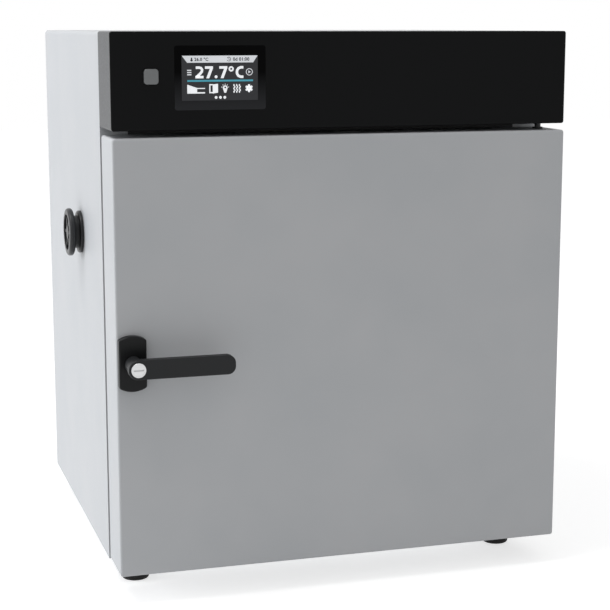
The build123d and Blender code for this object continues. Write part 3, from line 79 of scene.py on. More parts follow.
class ShaderDesk:
    """A material being wired up: short calls that add a node and return its output."""

    def __init__(self, name: str) -> None:
        """Starts an empty principled material.

        Args:
            name: the material's name.
        """
        self.material = bpy.data.materials.new(name)
        self.material.use_nodes = True
        self.tree = self.material.node_tree
        self.surface = self.tree.nodes["Principled BSDF"]
        self.place = self.tree.nodes.new("ShaderNodeTexCoord").outputs["Object"]

    def add(self, kind: str, **settings: object) -> bpy.types.Node:
        """Adds a node.

        Args:
            kind: the node's type, without its common prefix.
            settings: the node's own properties.
        Returns:
            The new node.
        """
        node = self.tree.nodes.new("ShaderNode" + kind)
        for key, value in settings.items():
            setattr(node, key, value)
        return node

    def wire(self, node: bpy.types.Node, **inputs: object) -> bpy.types.Node:
        """Sets or links a node's inputs, named with underscores for blanks.

        Args:
            node: the node to feed.
            inputs: a socket to link or a plain value, by input name.
        Returns:
            The same node.
        """
        for key, value in inputs.items():
            number = key[1:]
            socket = node.inputs[int(number) if number.isdigit() else key.replace("_", " ")]
            if isinstance(value, bpy.types.NodeSocket):
                self.tree.links.new(value, socket)
            else:
                socket.default_value = value
        return node

    def stretched(self, stretch: Point3) -> bpy.types.NodeSocket:
        """The object's own coordinates, stretched along its axes.

        Args:
            stretch: the factor for each axis.
        Returns:
            The vector output.
        """
        if stretch == Along.NONE.value:
            return self.place
        return self.wire(self.add("Mapping"), Vector=self.place, Scale=stretch).outputs[0]

    def noise(self, size: float, detail: float = 2.0,
              stretch: Point3 = Along.NONE.value) -> bpy.types.NodeSocket:
        """Soft noise.

        Args:
            size: how large its patches are, in metres.
            detail: how many finer octaves it has.
            stretch: how its grain is drawn out.
        Returns:
            The value output, from 0 to 1.
        """
        node = self.add("TexNoise")
        self.wire(node, Vector=self.stretched(stretch), Scale=1.0 / size, Detail=detail, Roughness=0.55)
        return node.outputs["Fac"]

    def ranged(self, value: bpy.types.NodeSocket, low: float, high: float,
               start: float = 0.3, end: float = 0.7) -> bpy.types.NodeSocket:
        """Maps a value from one range into another.

        Args:
            value: what is mapped.
            low: the result at start.
            high: the result at end.
            start: where the mapping begins.
            end: where it ends.
        Returns:
            The mapped value.
        """
        node = self.add("MapRange")
        self.wire(node, Value=value, From_Min=start, From_Max=end, To_Min=low, To_Max=high)
        return node.outputs[0]

    def blend(self, share: bpy.types.NodeSocket, first: object, second: object) -> bpy.types.NodeSocket:
        """Mixes two colours.

        Args:
            share: how much of the second one.
            first: a colour or an output.
            second: a colour or an output.
        Returns:
            The mixed colour.
        """
        node = self.add("Mix", data_type="RGBA")
        for index, value in ((0, share), (6, first), (7, second)):
            if isinstance(value, bpy.types.NodeSocket):
                self.tree.links.new(value, node.inputs[index])
            else:
                node.inputs[index].default_value = (*value, 1.0)
        return node.outputs[2]

    def sum(self, first: bpy.types.NodeSocket, second: object, how: str = "ADD") -> bpy.types.NodeSocket:
        """Combines two values.

        Args:
            first: an output.
            second: an output or a number.
            how: the arithmetic.
        Returns:
            The result.
        """
        return self.wire(self.add("Math", operation=how), _0=first, _1=second).outputs[0]

    def axis(self, name: str) -> bpy.types.NodeSocket:
        """One of the object's own coordinates, in metres.

        Args:
            name: X, Y or Z.
        Returns:
            The coordinate.
        """
        return self.wire(self.add("SeparateXYZ"), Vector=self.place).outputs[name]

    def bump(self, height: bpy.types.NodeSocket, strength: float, depth: float) -> None:
        """Wires a height into the surface's normal.

        Args:
            height: the height, from 0 to 1.
            strength: how strongly it shows.
            depth: how deep the relief is, in metres.
        """
        node = self.wire(self.add("Bump"), Height=height, Strength=strength, Distance=depth)
        self.tree.links.new(node.outputs[0], self.surface.inputs["Normal"])


@dataclass(frozen=True)
class Finish:
    """A finish: its colour and how it wanders, its gloss, and the grain on it."""

    name: str
    colour: Colour
    grain: Grain
    roughness: float = 0.5
    metallic: float = 0.0
    wander: float = 0.05
    tint: Colour = (1.0, 1.0, 1.0)
    patch: float = 0.12
    grain_size: float = 0.0015
    relief: float = 0.0001
    strength: float = 0.15
    rough_swing: float = 0.05
    specular: float = 0.5
    along: Along = Along.NONE
    glow: float = 0.0
    line_share: float = 0.35
    line_shade: float = 0.62

    def material(self) -> bpy.types.Material:
        """The finish as a material, made once.

        Returns:
            The material.
        """
        known = bpy.data.materials.get(self.name)
        if known is not None:
            return known
        desk = ShaderDesk(self.name)
        desk.surface.inputs["Metallic"].default_value = self.metallic
        desk.surface.inputs["Specular IOR Level"].default_value = self.specular
        grain = self.height(desk)
        colour = self.pigment(desk, grain)
        rough = desk.ranged(grain, self.roughness - self.rough_swing, self.roughness + self.rough_swing)
        desk.wire(desk.surface, Base_Color=colour, Roughness=rough)
        if self.glow:
            desk.wire(desk.surface, Emission_Color=colour)
            desk.surface.inputs["Emission Strength"].default_value = self.glow
        desk.bump(grain, self.strength, self.relief)
        return desk.material

    def shade(self, share: float, tint: Colour = (1.0, 1.0, 1.0)) -> Colour:
        """The finish's colour made lighter or darker.

        Args:
            share: the factor.
            tint: a further factor for each channel.
        Returns:
            The colour.
        """
        return tuple(min(1.0, c * share * t) for c, t in zip(self.colour, tint))

    def pigment(self, desk: ShaderDesk, grain: bpy.types.NodeSocket) -> bpy.types.NodeSocket:
        """The colour and how it wanders over the surface.

        Args:
            desk: the material being made.
            grain: the fine height.
        Returns:
            The colour output.
        """
        broad = desk.ranged(desk.noise(self.patch, 2.0), 0.0, 1.0)
        base = desk.blend(broad, self.shade(1.0 - self.wander), self.shade(1.0 + self.wander, self.tint))
        if self.grain in (Grain.SPANGLE, Grain.BRUSHED, Grain.FIBRE):
            fine = desk.ranged(grain, 0.0, 1.0, 0.2, 0.8)
            return desk.blend(desk.sum(fine, self.line_share, "MULTIPLY"), base, self.shade(self.line_shade))
        return base

    def height(self, desk: ShaderDesk) -> bpy.types.NodeSocket:
        """The fine relief of the grain.

        Args:
            desk: the material being made.
        Returns:
            The height, from 0 to 1.
        """
        if self.grain is Grain.SPANGLE:
            node = desk.add("TexVoronoi")
            desk.wire(node, Vector=desk.place, Scale=1.0 / self.grain_size)
            return desk.wire(desk.add("SeparateColor"), Color=node.outputs["Color"]).outputs[0]
        if self.grain is Grain.BRUSHED:
            return desk.noise(self.grain_size, 4.0, self.along.value)
        if self.grain is Grain.FIBRE:
            fibres = desk.noise(self.grain_size, 6.0, (1.0, 0.15, 1.0))
            return desk.sum(desk.sum(fibres, desk.noise(self.grain_size * 4, 3.0), "ADD"), 0.5, "MULTIPLY")
        if self.grain is Grain.MOULDED:
            return desk.noise(self.grain_size, 5.0)
        return desk.noise(self.grain_size, 1.0 if self.grain is Grain.POLISHED else 2.5)


@dataclass(frozen=True)
class BoardFinish(Finish):
    """A circuit board: green lacquer with tracks, and dark parts above the board's own surface."""

    board_top: float = 0.5975
    parts: Colour = (0.03, 0.03, 0.035)
    track: Colour = (0.10, 0.42, 0.20)
    tracks_per_metre: float = 90.0
    track_width: float = 0.03

    def pigment(self, desk: ShaderDesk, grain: bpy.types.NodeSocket) -> bpy.types.NodeSocket:
        """Lacquer, tracks and parts.

        Args:
            desk: the material being made.
            grain: the fine height.
        Returns:
            The colour output.
        """
        bricks = desk.add("TexBrick")
        desk.wire(bricks, Vector=desk.place, Scale=self.tracks_per_metre, Mortar_Size=self.track_width)
        board = desk.blend(bricks.outputs["Fac"], self.colour, self.track)
        above = desk.sum(desk.axis("Z"), self.board_top, "GREATER_THAN")
        return desk.blend(above, board, self.parts)


@dataclass(frozen=True)
class BezelPaintedReflectionFinish(Finish):
    """The black printed back of the display's cover glass, with a painted reflection that lifts it to
    graphite lower down.
    """

    low: float = 0.0
    high: float = 1.0
    # foot: the colour of the painted reflection at the lower edge of the cover glass
    foot: Colour = (0.034, 0.035, 0.038)

    def pigment(self, desk: ShaderDesk, grain: bpy.types.NodeSocket) -> bpy.types.NodeSocket:
        """Black print at the top, lifted to graphite at the foot by a painted reflection.

        Args:
            desk: the material being made.
            grain: the fine height.
        Returns:
            The colour output.
        """
        # painted reflection: the black print blends towards the graphite foot colour lower down the glass
        return desk.blend(desk.ranged(desk.axis("Z"), 1.0, 0.0, self.low, self.high), self.colour, self.foot)


PAINT = Finish("paint_light_coat", (0.575, 0.592, 0.612), Grain.PEEL, 0.46, wander=0.022,
               tint=(1.012, 1.0, 0.994), patch=0.11, grain_size=0.0022, relief=0.00006, strength=0.12,
               rough_swing=0.04, specular=0.35)
GRAPHITE = Finish("paint_graphite_coat", (0.064, 0.0665, 0.072), Grain.PEEL, 0.42, wander=0.05,
                  grain_size=0.0018, relief=0.00006, strength=0.15, specular=0.35)
FASCIA = Finish("fascia_gloss", (0.0052, 0.0055, 0.0060), Grain.POLISHED, 0.20, wander=0.08, patch=0.2,
                grain_size=0.05, relief=0.0002, strength=0.02, rough_swing=0.03, specular=0.07)
FRAME_BLACK = Finish("moulded_black", (0.026, 0.027, 0.029), Grain.MOULDED, 0.50, grain_size=0.0009,
                     relief=0.00008, strength=0.20)
LEVER_GREY = Finish("lever_graphite_plastic", (0.0135, 0.0145, 0.0158), Grain.MOULDED, 0.46, wander=0.04,
                    grain_size=0.0007, relief=0.00006, strength=0.16, specular=0.24)
PLATE_BLACK = Finish("escutcheon_black", (0.0060, 0.0066, 0.0072), Grain.MOULDED, 0.34, wander=0.05,
                     grain_size=0.0008, relief=0.00004, strength=0.10, specular=0.18)
PORT_GREY = Finish("port_cap_graphite", (0.017, 0.018, 0.020), Grain.MOULDED, 0.34, specular=0.35,
                   grain_size=0.0007, relief=0.00005, strength=0.14)
PORT_BLACK = Finish("port_flange_black", (0.008, 0.0085, 0.0095), Grain.MOULDED, 0.34, specular=0.3,
                    grain_size=0.0007, relief=0.00005, strength=0.14)
STAINLESS_X = Finish("stainless_brushed_across", (0.60, 0.60, 0.59), Grain.BRUSHED, 0.30, 1.0, wander=0.03,
                     grain_size=0.0012, relief=0.00003, strength=0.12, along=Along.X, rough_swing=0.08)
STAINLESS_Z = Finish("stainless_brushed_upright", (0.60, 0.60, 0.59), Grain.BRUSHED, 0.30, 1.0, wander=0.03,
                     grain_size=0.0012, relief=0.00003, strength=0.12, along=Along.Z, rough_swing=0.08)
WIRE_STEEL = Finish("shelf_wire_polished", (0.66, 0.66, 0.65), Grain.BRUSHED, 0.22, 1.0, wander=0.03,
                    grain_size=0.0008, relief=0.00002, strength=0.10, along=Along.Y, rough_swing=0.06)
ZINC = Finish("galvanised_spangle", (0.52, 0.54, 0.56), Grain.SPANGLE, 0.42, 0.85, wander=0.05,
              grain_size=0.012, relief=0.00002, strength=0.05, rough_swing=0.10)
PLATED = Finish("plated_steel", (0.63, 0.62, 0.59), Grain.BRUSHED, 0.28, 1.0, wander=0.06, patch=0.02,
                grain_size=0.0006, relief=0.00002, strength=0.10)
DARK_STEEL = Finish("hinge_dark_steel", (0.045, 0.046, 0.050), Grain.PEEL, 0.40, wander=0.08,
                    grain_size=0.0012, relief=0.00006, strength=0.2)
BUTTON_METAL = Finish("button_satin_metal", (0.155, 0.16, 0.163), Grain.BRUSHED, 0.40, 0.85, wander=0.03,
                      patch=0.01, grain_size=0.0004, relief=0.00002, strength=0.08, along=Along.X)
LOCK_METAL = Finish("lock_satin_nickel", (0.66, 0.665, 0.67), Grain.BRUSHED, 0.34, 1.0, wander=0.02,
                    patch=0.01, grain_size=0.0005, relief=0.00002, strength=0.08, along=Along.X)
RUBBER = Finish("foot_rubber", (0.020, 0.020, 0.020), Grain.MOULDED, 0.72, wander=0.12, patch=0.02,
                grain_size=0.0012, relief=0.0001, strength=0.3, specular=0.3)
SILICONE = Finish("gasket_silicone", (0.060, 0.061, 0.064), Grain.MOULDED, 0.58, wander=0.08, patch=0.03,
                  grain_size=0.0015, relief=0.00008, strength=0.18, specular=0.4)
WOOL = Finish("mineral_wool", (0.60, 0.52, 0.32), Grain.FIBRE, 0.92, wander=0.10, patch=0.05,
              grain_size=0.004, relief=0.0012, strength=0.7, specular=0.1)
ALUMINIUM = Finish("anodised_aluminium", (0.62, 0.63, 0.64), Grain.BRUSHED, 0.36, 0.95, wander=0.04,
                   grain_size=0.0010, relief=0.00003, strength=0.12, along=Along.Z)
CERAMIC = Finish("module_ceramic", (0.82, 0.81, 0.77), Grain.MOULDED, 0.6, grain_size=0.0008, relief=0.00004)
LENS = Finish("lamp_diffuser", (0.86, 0.86, 0.82), Grain.MOULDED, 0.5, grain_size=0.0012, relief=0.0001,
              strength=0.3)
BOARD = BoardFinish("circuit_board_lacquer", (0.015, 0.13, 0.055), Grain.TRACKS, 0.35, relief=0.00005)
SCREEN_DARK = Finish("screen_graphite", (0.030, 0.031, 0.034), Grain.POLISHED, 0.35, wander=0.05, patch=0.05,
                     grain_size=0.004, relief=0.00001, strength=0.02, specular=0.2, glow=0.25)
SCREEN_WHITE = Finish("screen_white", (0.80, 0.82, 0.84), Grain.POLISHED, 0.4, wander=0.02, patch=0.02,
                      grain_size=0.004, relief=0.00001, strength=0.02, specular=0.1, glow=0.55)
SCREEN_BAR = Finish("screen_bar_silver", (0.66, 0.68, 0.71), Grain.POLISHED, 0.4, wander=0.03, patch=0.02,
                    grain_size=0.004, relief=0.00001, strength=0.02, specular=0.1, glow=0.45)
SCREEN_TEAL = Finish("screen_teal", (0.075, 0.33, 0.42), Grain.POLISHED, 0.4, wander=0.10, patch=0.02,
                     grain_size=0.004, relief=0.00001, strength=0.02, specular=0.1, glow=0.45)
SCREEN_INK = Finish("screen_ink", (0.020, 0.020, 0.024), Grain.POLISHED, 0.4, wander=0.02, patch=0.02,
                    grain_size=0.004, relief=0.00001, strength=0.02, specular=0.1, glow=0.1)

FINISHES: dict[str, Finish] = {
    "outer_wrap": PAINT, "rear_panel": PAINT, "front_frame": PAINT, "door_skin": PAINT,
    "head_housing": GRAPHITE, "fascia_panel": FASCIA, "base_pan": ZINC, "bay_floor": ZINC,
    "power_supply": ZINC, "breaker_frame": FRAME_BLACK, "button_switch": FRAME_BLACK,
    "display_module": FRAME_BLACK, "hinge_bushes": FRAME_BLACK, "circulation_fan_motor": FRAME_BLACK,
    "exhaust_fan_frame": FRAME_BLACK, "exhaust_fan_rotor": FRAME_BLACK, "mains_inlet": FRAME_BLACK,
    "data_ports": FRAME_BLACK, "port_liner": FRAME_BLACK, "port_flange": PORT_BLACK,
    "port_cap": PORT_GREY, "port_plug": SILICONE, "escutcheon": PLATE_BLACK, "handle_lever": LEVER_GREY,
    "chamber_liner": STAINLESS_X, "door_inner_panel": STAINLESS_Z, "air_baffle": STAINLESS_Z,
    "shelf_rack_left": STAINLESS_Z, "shelf_rack_right": STAINLESS_Z, "shelf_lower": WIRE_STEEL,
    "shelf_upper": WIRE_STEEL, "temperature_probe": WIRE_STEEL, "heater_element": WIRE_STEEL,
    "rear_panel_screws": PLATED, "latch_shaft": PLATED, "latch_hook": PLATED, "latch_stud": PLATED,
    "foot_screws": PLATED, "fan_shaft": PLATED, "fan_guard": PLATED, "board_standoffs": PLATED,
    "hinge_bracket_upper": DARK_STEEL, "hinge_bracket_lower": DARK_STEEL, "power_button": BUTTON_METAL,
    "lock_cylinder": LOCK_METAL, "rubber_feet": RUBBER, "insulation_left": WOOL, "insulation_right": WOOL,
    "insulation_top": WOOL, "insulation_bottom": WOOL, "insulation_rear": WOOL, "door_insulation": WOOL,
    "circulation_fan": ALUMINIUM, "cold_heatsink": ALUMINIUM, "hot_heatsink": ALUMINIUM,
    "peltier_module": CERAMIC, "chamber_lamp": LENS, "main_board": BOARD,
}


def dress_packed_parts() -> None:
    """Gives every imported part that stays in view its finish."""
    for name, finish in FINISHES.items():
        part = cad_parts[name]
        material = finish.material()
        if not part.material_slots:
            part.data.materials.append(material)
        for slot in part.material_slots:
            slot.material = material
        log.info("finish %s on %s", finish.name, name)


class Maker:
    """Meshes from outlines and profiles, each closed all round."""

    @staticmethod
    def piece(name: str, shell: bmesh.types.BMesh, finish: Finish, body: str, slot: str,
              smooth: bool = False) -> bpy.types.Object:
        """Turns a finished bmesh into a piece that rides on a body.

        Args:
            name: the piece's name.
            shell: its mesh, which is used up.
            finish: what it is finished in.
            body: the body that it moves with.
            slot: the record's material slot that it belongs to; not used.
            smooth: whether its faces are shaded smooth.
        Returns:
            The piece.
        """
        bmesh.ops.remove_doubles(shell, verts=shell.verts, dist=1e-7)
        bmesh.ops.recalc_face_normals(shell, faces=shell.faces)
        mesh = bpy.data.meshes.new(name)
        for face in shell.faces:
            face.smooth = smooth
        shell.to_mesh(mesh)
        shell.free()
        piece = bpy.data.objects.new(name, mesh)
        mesh.materials.append(finish.material())
        bpy.context.scene.collection.objects.link(piece)
        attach(piece, body)
        log.info("built %s: %d faces on %s", name, len(mesh.polygons), body)
        return piece

    @staticmethod
    def prism(shell: bmesh.types.BMesh, outline: list[Point2], y0: float, y1: float) -> None:
        """Adds an upright outline in x and z, thickened along y.

        Args:
            shell: the mesh that grows.
            outline: its corners in order.
            y0: the front plane.
            y1: the back plane.
        """
        front = [shell.verts.new((x, y0, z)) for x, z in outline]
        back = [shell.verts.new((x, y1, z)) for x, z in outline]
        shell.faces.new(front)
        shell.faces.new(list(reversed(back)))
        Maker.walls(shell, [front, back])

    @staticmethod
    def walls(shell: bmesh.types.BMesh, loops: list[list[bmesh.types.BMVert]]) -> None:
        """Joins each closed loop to the next one with a band of faces.

        Args:
            shell: the mesh that grows.
            loops: the loops in order, each with the same number of corners.
        """
        for first, second in zip(loops, loops[1:]):
            for i, corner in enumerate(first):
                j = (i + 1) % len(first)
                shell.faces.new((corner, second[i], second[j], first[j]))

    @staticmethod
    def ring(shell: bmesh.types.BMesh, centre: Point2, inner: float, outer: float, y0: float, y1: float,
             start: float = 0.0, sweep: float = 360.0) -> None:
        """Adds a flat ring or part of one, thickened along y.

        Args:
            shell: the mesh that grows.
            centre: its middle in x and z.
            inner: its inner radius.
            outer: its outer radius.
            y0: the front plane.
            y1: the back plane.
            start: the angle that it starts at, in degrees.
            sweep: how far it goes round, in degrees.
        """
        count = max(8, int(sweep / 10))
        turns = [math.radians(start + sweep * i / count) for i in range(count + 1)]
        spots = [(math.cos(t), math.sin(t)) for t in turns]
        for (c0, s0), (c1, s1) in zip(spots, spots[1:]):
            outline = [(centre[0] + r * c, centre[1] + r * s)
                       for r, c, s in ((inner, c0, s0), (outer, c0, s0), (outer, c1, s1), (inner, c1, s1))]
            Maker.prism(shell, outline, y0, y1)

    @staticmethod
    def ribbon(shell: bmesh.types.BMesh, line: list[Point2], width: float, y0: float, y1: float) -> None:
        """Adds a stroke of even width along a line in x and z, thickened along y.

        Args:
            shell: the mesh that grows.
            line: its points.
            width: how wide the stroke is.
            y0: the front plane.
            y1: the back plane.
        """
        left, right = [], []
        for i, (x, z) in enumerate(line):
            x0, z0 = line[max(0, i - 1)]
            x1, z1 = line[min(len(line) - 1, i + 1)]
            long = math.hypot(x1 - x0, z1 - z0)
            nx, nz = -(z1 - z0) / long * width / 2, (x1 - x0) / long * width / 2
            left.append((x + nx, z + nz))
            right.append((x - nx, z - nz))
        Maker.prism(shell, left + list(reversed(right)), y0, y1)

    @staticmethod
    def rounded(centre: Point2, width: float, height: float, radius: float, steps: int = 6) -> list[Point2]:
        """The outline of a rectangle with rounded corners.

        Args:
            centre: its middle.
            width: its width.
            height: its height.
            radius: its corner radius.
            steps: how many edges each corner has.
        Returns:
            The corners in order.
        """
        outline = []
        for turn, (sx, sz) in enumerate(((1, 1), (-1, 1), (-1, -1), (1, -1))):
            cx, cz = centre[0] + sx * (width / 2 - radius), centre[1] + sz * (height / 2 - radius)
            for i in range(steps + 1):
                angle = math.radians(90 * turn + 90 * i / steps)
                outline.append((cx + radius * math.cos(angle), cz + radius * math.sin(angle)))
        return outline

    @staticmethod
    def smoothed(points: list[Point2], steps: int) -> list[Point2]:
        """A closed line through the points, rounded between them.

        Args:
            points: the points in order.
            steps: how many parts each stretch is divided into.
        Returns:
            The finer line.
        """
        out, count = [], len(points)
        for i in range(count):
            a, b, c, d = (Vector(points[(i + k) % count]) for k in (-1, 0, 1, 2))
            for k in range(steps):
                t = k / steps
                spot = 0.5 * ((2 * b) + (c - a) * t + (2 * a - 5 * b + 4 * c - d) * t * t
                              + (3 * b - a - 3 * c + d) * t ** 3)
                out.append((spot.x, spot.y))
        return out


@dataclass
class TouchDisplay:
    """The display: its cover glass, the lit area and what is drawn on it.

    Sizes are in metres. The edges of the lit area (left, top, right, foot) and the figures' top,
    foot and stroke are in millimetres from its upper left corner, as everything drawn on it is.
    The letters' spacing and weight are shares of their size.
    """

    lit_width: float = 0.0948
    lit_height: float = 0.0540
    lit_lift: float = 0.0003
    skin: float = 0.00012
    cover_radius: float = 0.003
    edge: float = 0.00032
    # heights above the cover glass's lower edge where its painted reflection is full and where it has faded
    # out
    painted_reflection_full: float = 0.004
    painted_reflection_fade: float = 0.045
    letter_space: float = 1.06
    letter_weight: float = 0.022
    figure_top: float = 13.5
    figure_foot: float = 27.8
    figure_stroke: float = 3.1
    lit_edges: tuple[float, float, float, float] = (-0.4, 0.9, 93.8, 54.3)
    slot: str = "screen"
    body: str = "cabinet"
    front: float = field(init=False)
    left: float = field(init=False)
    top: float = field(init=False)

    def __post_init__(self) -> None:
        """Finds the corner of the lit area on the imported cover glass."""
        low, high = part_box("display_glass")
        self.front = low.y
        self.left = (low.x + high.x) / 2 - self.lit_width / 2
        self.top = (low.z + high.z) / 2 + self.lit_lift + self.lit_height / 2

    def spot(self, across: float, down: float) -> Point2:
        """A place on the lit area.

        Args:
            across: millimetres from its left edge.
            down: millimetres from its top edge.
        Returns:
            The place in x and z, in metres.
        """
        return self.left + across / 1000, self.top - down / 1000

    def flat(self, name: str, outlines: list[list[Point2]], finish: Finish,
             level: int = 1) -> bpy.types.Object:
        """A thin printed shape made of outlines given in millimetres on the lit area.

        Args:
            name: the piece's name.
            outlines: its outlines.
            finish: its finish.
            level: how many skins it lies above the glass.
        Returns:
            The piece.
        """
        shell = bmesh.new()
        for outline in outlines:
            corners = [self.spot(*point) for point in outline]
            Maker.prism(shell, corners, self.front - self.skin * level, self.front - self.skin * (level - 1))
        return Maker.piece(name, shell, finish, self.body, self.slot)

    def strokes(self, name: str, lines: list[list[Point2]], width: float,
                finish: Finish) -> bpy.types.Object:
        """Even strokes, two skins above the glass, along lines given in millimetres on the lit area.

        Args:
            name: the piece's name.
            lines: the lines.
            width: how wide the strokes are, in millimetres.
            finish: the finish.
        Returns:
            The piece.
        """
        shell = bmesh.new()
        for line in lines:
            points = [self.spot(*point) for point in line]
            Maker.ribbon(shell, points, width / 1000, self.front - self.skin * 2, self.front - self.skin)
        return Maker.piece(name, shell, finish, self.body, self.slot)

    def words(self, name: str, text: str, across: Point2, down: Point2, finish: Finish) -> bpy.types.Object:
        """A small readout on the status bar, fitted into a rectangle of the lit area.

        Args:
            name: the piece's name.
            text: what it reads.
            across: its left and right edges, in millimetres.
            down: its top and bottom edges, in millimetres.
            finish: its finish.
        Returns:
            The piece.
        """
        letters = bpy.data.curves.new(name, "FONT")
        letters.body = text
        letters.offset = self.letter_weight
        letters.extrude = 0.01
        letters.space_character = self.letter_space
        raw = bpy.data.objects.new(name + "_raw", letters)
        bpy.context.scene.collection.objects.link(raw)
        bpy.context.view_layer.update()
        mesh = bpy.data.meshes.new_from_object(raw.evaluated_get(bpy.context.evaluated_depsgraph_get()))
        bpy.data.objects.remove(raw)
        bpy.data.curves.remove(letters)
        shell = bmesh.new()
        shell.from_mesh(mesh)
        bpy.data.meshes.remove(mesh)
        xs = [v.co.x for v in shell.verts]
        ys = [v.co.y for v in shell.verts]
        (x0, z1), (x1, z0) = self.spot(across[0], down[0]), self.spot(across[1], down[1])
        back, face = self.front - self.skin * 2, self.front - self.skin * 3
        for vert in shell.verts:
            u = (vert.co.x - min(xs)) / (max(xs) - min(xs))
            v = (vert.co.y - min(ys)) / (max(ys) - min(ys))
            vert.co = (x0 + u * (x1 - x0), face if vert.co.z > 0 else back, z0 + v * (z1 - z0))
        return Maker.piece(name, shell, finish, self.body, self.slot)

    @staticmethod
    def disc(centre: Point2, radius: float, count: int = 24) -> list[Point2]:
        """A round outline.

        Args:
            centre: its middle.
            radius: its radius.
            count: how many corners it has.
        Returns:
            The outline.
        """
        turns = [2 * math.pi * i / count for i in range(count)]
        return [(centre[0] + radius * math.cos(t), centre[1] + radius * math.sin(t)) for t in turns]

    def cover(self) -> None:
        """The cover glass with its bevelled edge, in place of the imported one."""
        low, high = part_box("display_glass")
        centre = ((low.x + high.x) / 2, (low.z + high.z) / 2)
        width, height = high.x - low.x, high.z - low.z
        shell = bmesh.new()
        loops = []
        bevel = self.edge * 0.3
        for inset, y in ((self.edge, low.y), (bevel, low.y + bevel), (0, low.y + self.edge), (0, high.y)):
            outline = Maker.rounded(centre, width - 2 * inset, height - 2 * inset, self.cover_radius - inset)
            loops.append([shell.verts.new((x, y, z)) for x, z in outline])
        shell.faces.new(loops[0])
        shell.faces.new(list(reversed(loops[-1])))
        Maker.walls(shell, loops)
        # black print with a painted reflection that turns it graphite towards the lower edge
        finish = BezelPaintedReflectionFinish("cover_glass_print_painted_reflection", (0.0012, 0.0012, 0.0014), Grain.POLISHED, 0.12,
                             specular=0.03, grain_size=0.05, relief=0.00005, strength=0.01, rough_swing=0.02,
                             low=low.z + self.painted_reflection_full, high=low.z + self.painted_reflection_fade)
        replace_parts(Maker.piece("display_cover", shell, finish, self.body, self.slot), "display_glass")

    def screen(self) -> None:
        """The lit area, a shade lighter than the print round it."""
        left, top, right, foot = self.lit_edges
        area = [(left, top), (right, top), (right, foot), (left, foot)]
        self.flat("display_lit_area", [area], SCREEN_DARK)

    def status_bar(self) -> None:
        """The silver bar at the top, with its set temperature and running time."""
        bar = [(0.0, 0.9), (93.6, 0.9), (88.0, 9.2), (6.4, 9.2)]
        self.flat("status_bar", [bar], SCREEN_BAR, 2)
        stem = [(11.1, 3.2), (12.6, 3.2), (12.6, 5.2), (13.5, 6.4), (12.5, 7.6), (11.2, 7.6), (10.2, 6.4),
                (11.1, 5.2)]
        self.flat("status_thermometer", [stem], SCREEN_INK, 3)
        self.words("status_set_point", "26.0 °C", (15.3, 32.4), (3.1, 7.2), SCREEN_INK)
        self.words("status_clock_time", "0d 01:00", (62.9, 83.2), (3.1, 7.2), SCREEN_INK)
        shell = bmesh.new()
        y0, y1 = self.front - self.skin * 3, self.front - self.skin * 2
        hands = [self.spot(57.8, 3.5), self.spot(57.8, 5.2), self.spot(59.0, 5.8)]
        Maker.ring(shell, self.spot(57.8, 5.1), 0.0020, 0.0026, y0, y1, -150.0, 300.0)
        Maker.ribbon(shell, hands, 0.0005, y0, y1)
        Maker.piece("status_clock", shell, SCREEN_INK, self.body, self.slot)

    def readout(self) -> None:
        """The large temperature with the menu, the start ring and the teal line under it."""
        top, foot = self.figure_top, self.figure_foot
        self.flat("figure_units_seven", [self.seven(28.2)], SCREEN_WHITE, 2)
        self.flat("figure_tenths_seven", [self.seven(45.9)], SCREEN_WHITE, 2)
        hook = [(16.9, top + 1.6), (20.8, top + 1.5), (23.4, top + 2.1), (24.7, top + 4.0), (24.2, top + 6.4),
                (21.9, top + 9.1), (18.2, foot - 1.9)]
        base = [(16.3, foot - 3.0), (26.3, foot - 3.0), (26.3, foot), (16.3, foot)]
        self.strokes("figure_two_hook", [hook], self.figure_stroke, SCREEN_WHITE)
        self.flat("figure_two_base", [base], SCREEN_WHITE, 2)
        self.flat("figure_point", [self.disc((41.8, foot - 1.75), 1.8, 16)], SCREEN_WHITE, 2)
        bow = [(75.8, top + 1.5), (72.3, top + 1.5), (69.6, top + 2.7), (68.0, top + 5.0), (67.7, top + 7.15),
               (68.0, foot - 5.0), (69.6, foot - 2.7), (72.3, foot - 1.5), (75.8, foot - 1.5)]
        self.strokes("figure_celsius", [bow], self.figure_stroke, SCREEN_WHITE)
        bars = [[(6.2, y), (11.5, y), (11.5, y + 1.4), (6.2, y + 1.4)] for y in (17.5, 20.1, 22.7)]
        self.flat("menu_bars", bars, SCREEN_BAR, 2)
        y0, y1 = self.front - self.skin * 2, self.front - self.skin
        shell = bmesh.new()
        Maker.ring(shell, self.spot(60.6, top + 3.3), 0.0013, 0.0032, y0, y1)
        Maker.piece("figure_degree", shell, SCREEN_WHITE, self.body, self.slot)
        shell = bmesh.new()
        Maker.ring(shell, self.spot(83.2, 20.5), 0.0034, 0.0043, y0, y1)
        Maker.prism(shell, [self.spot(81.9, 18.7), self.spot(85.3, 20.5), self.spot(81.9, 22.3)], y0, y1)
        Maker.piece("start_ring", shell, SCREEN_BAR, self.body, self.slot)
        line = [(6.4, 29.7), (87.7, 29.7), (87.7, 31.8), (6.4, 31.8)]
        self.flat("divider_line", [line], SCREEN_TEAL, 2)

    def seven(self, left: float) -> list[Point2]:
        """The outline of a heavy figure seven.

        Args:
            left: its left edge, in millimetres.
        Returns:
            The outline.
        """
        top, foot = self.figure_top, self.figure_foot
        return [(left, top), (left + 9.9, top), (left + 9.9, top + 2.4), (left + 5.1, foot),
                (left + 1.5, foot), (left + 6.0, top + 3.0), (left, top + 3.0)]

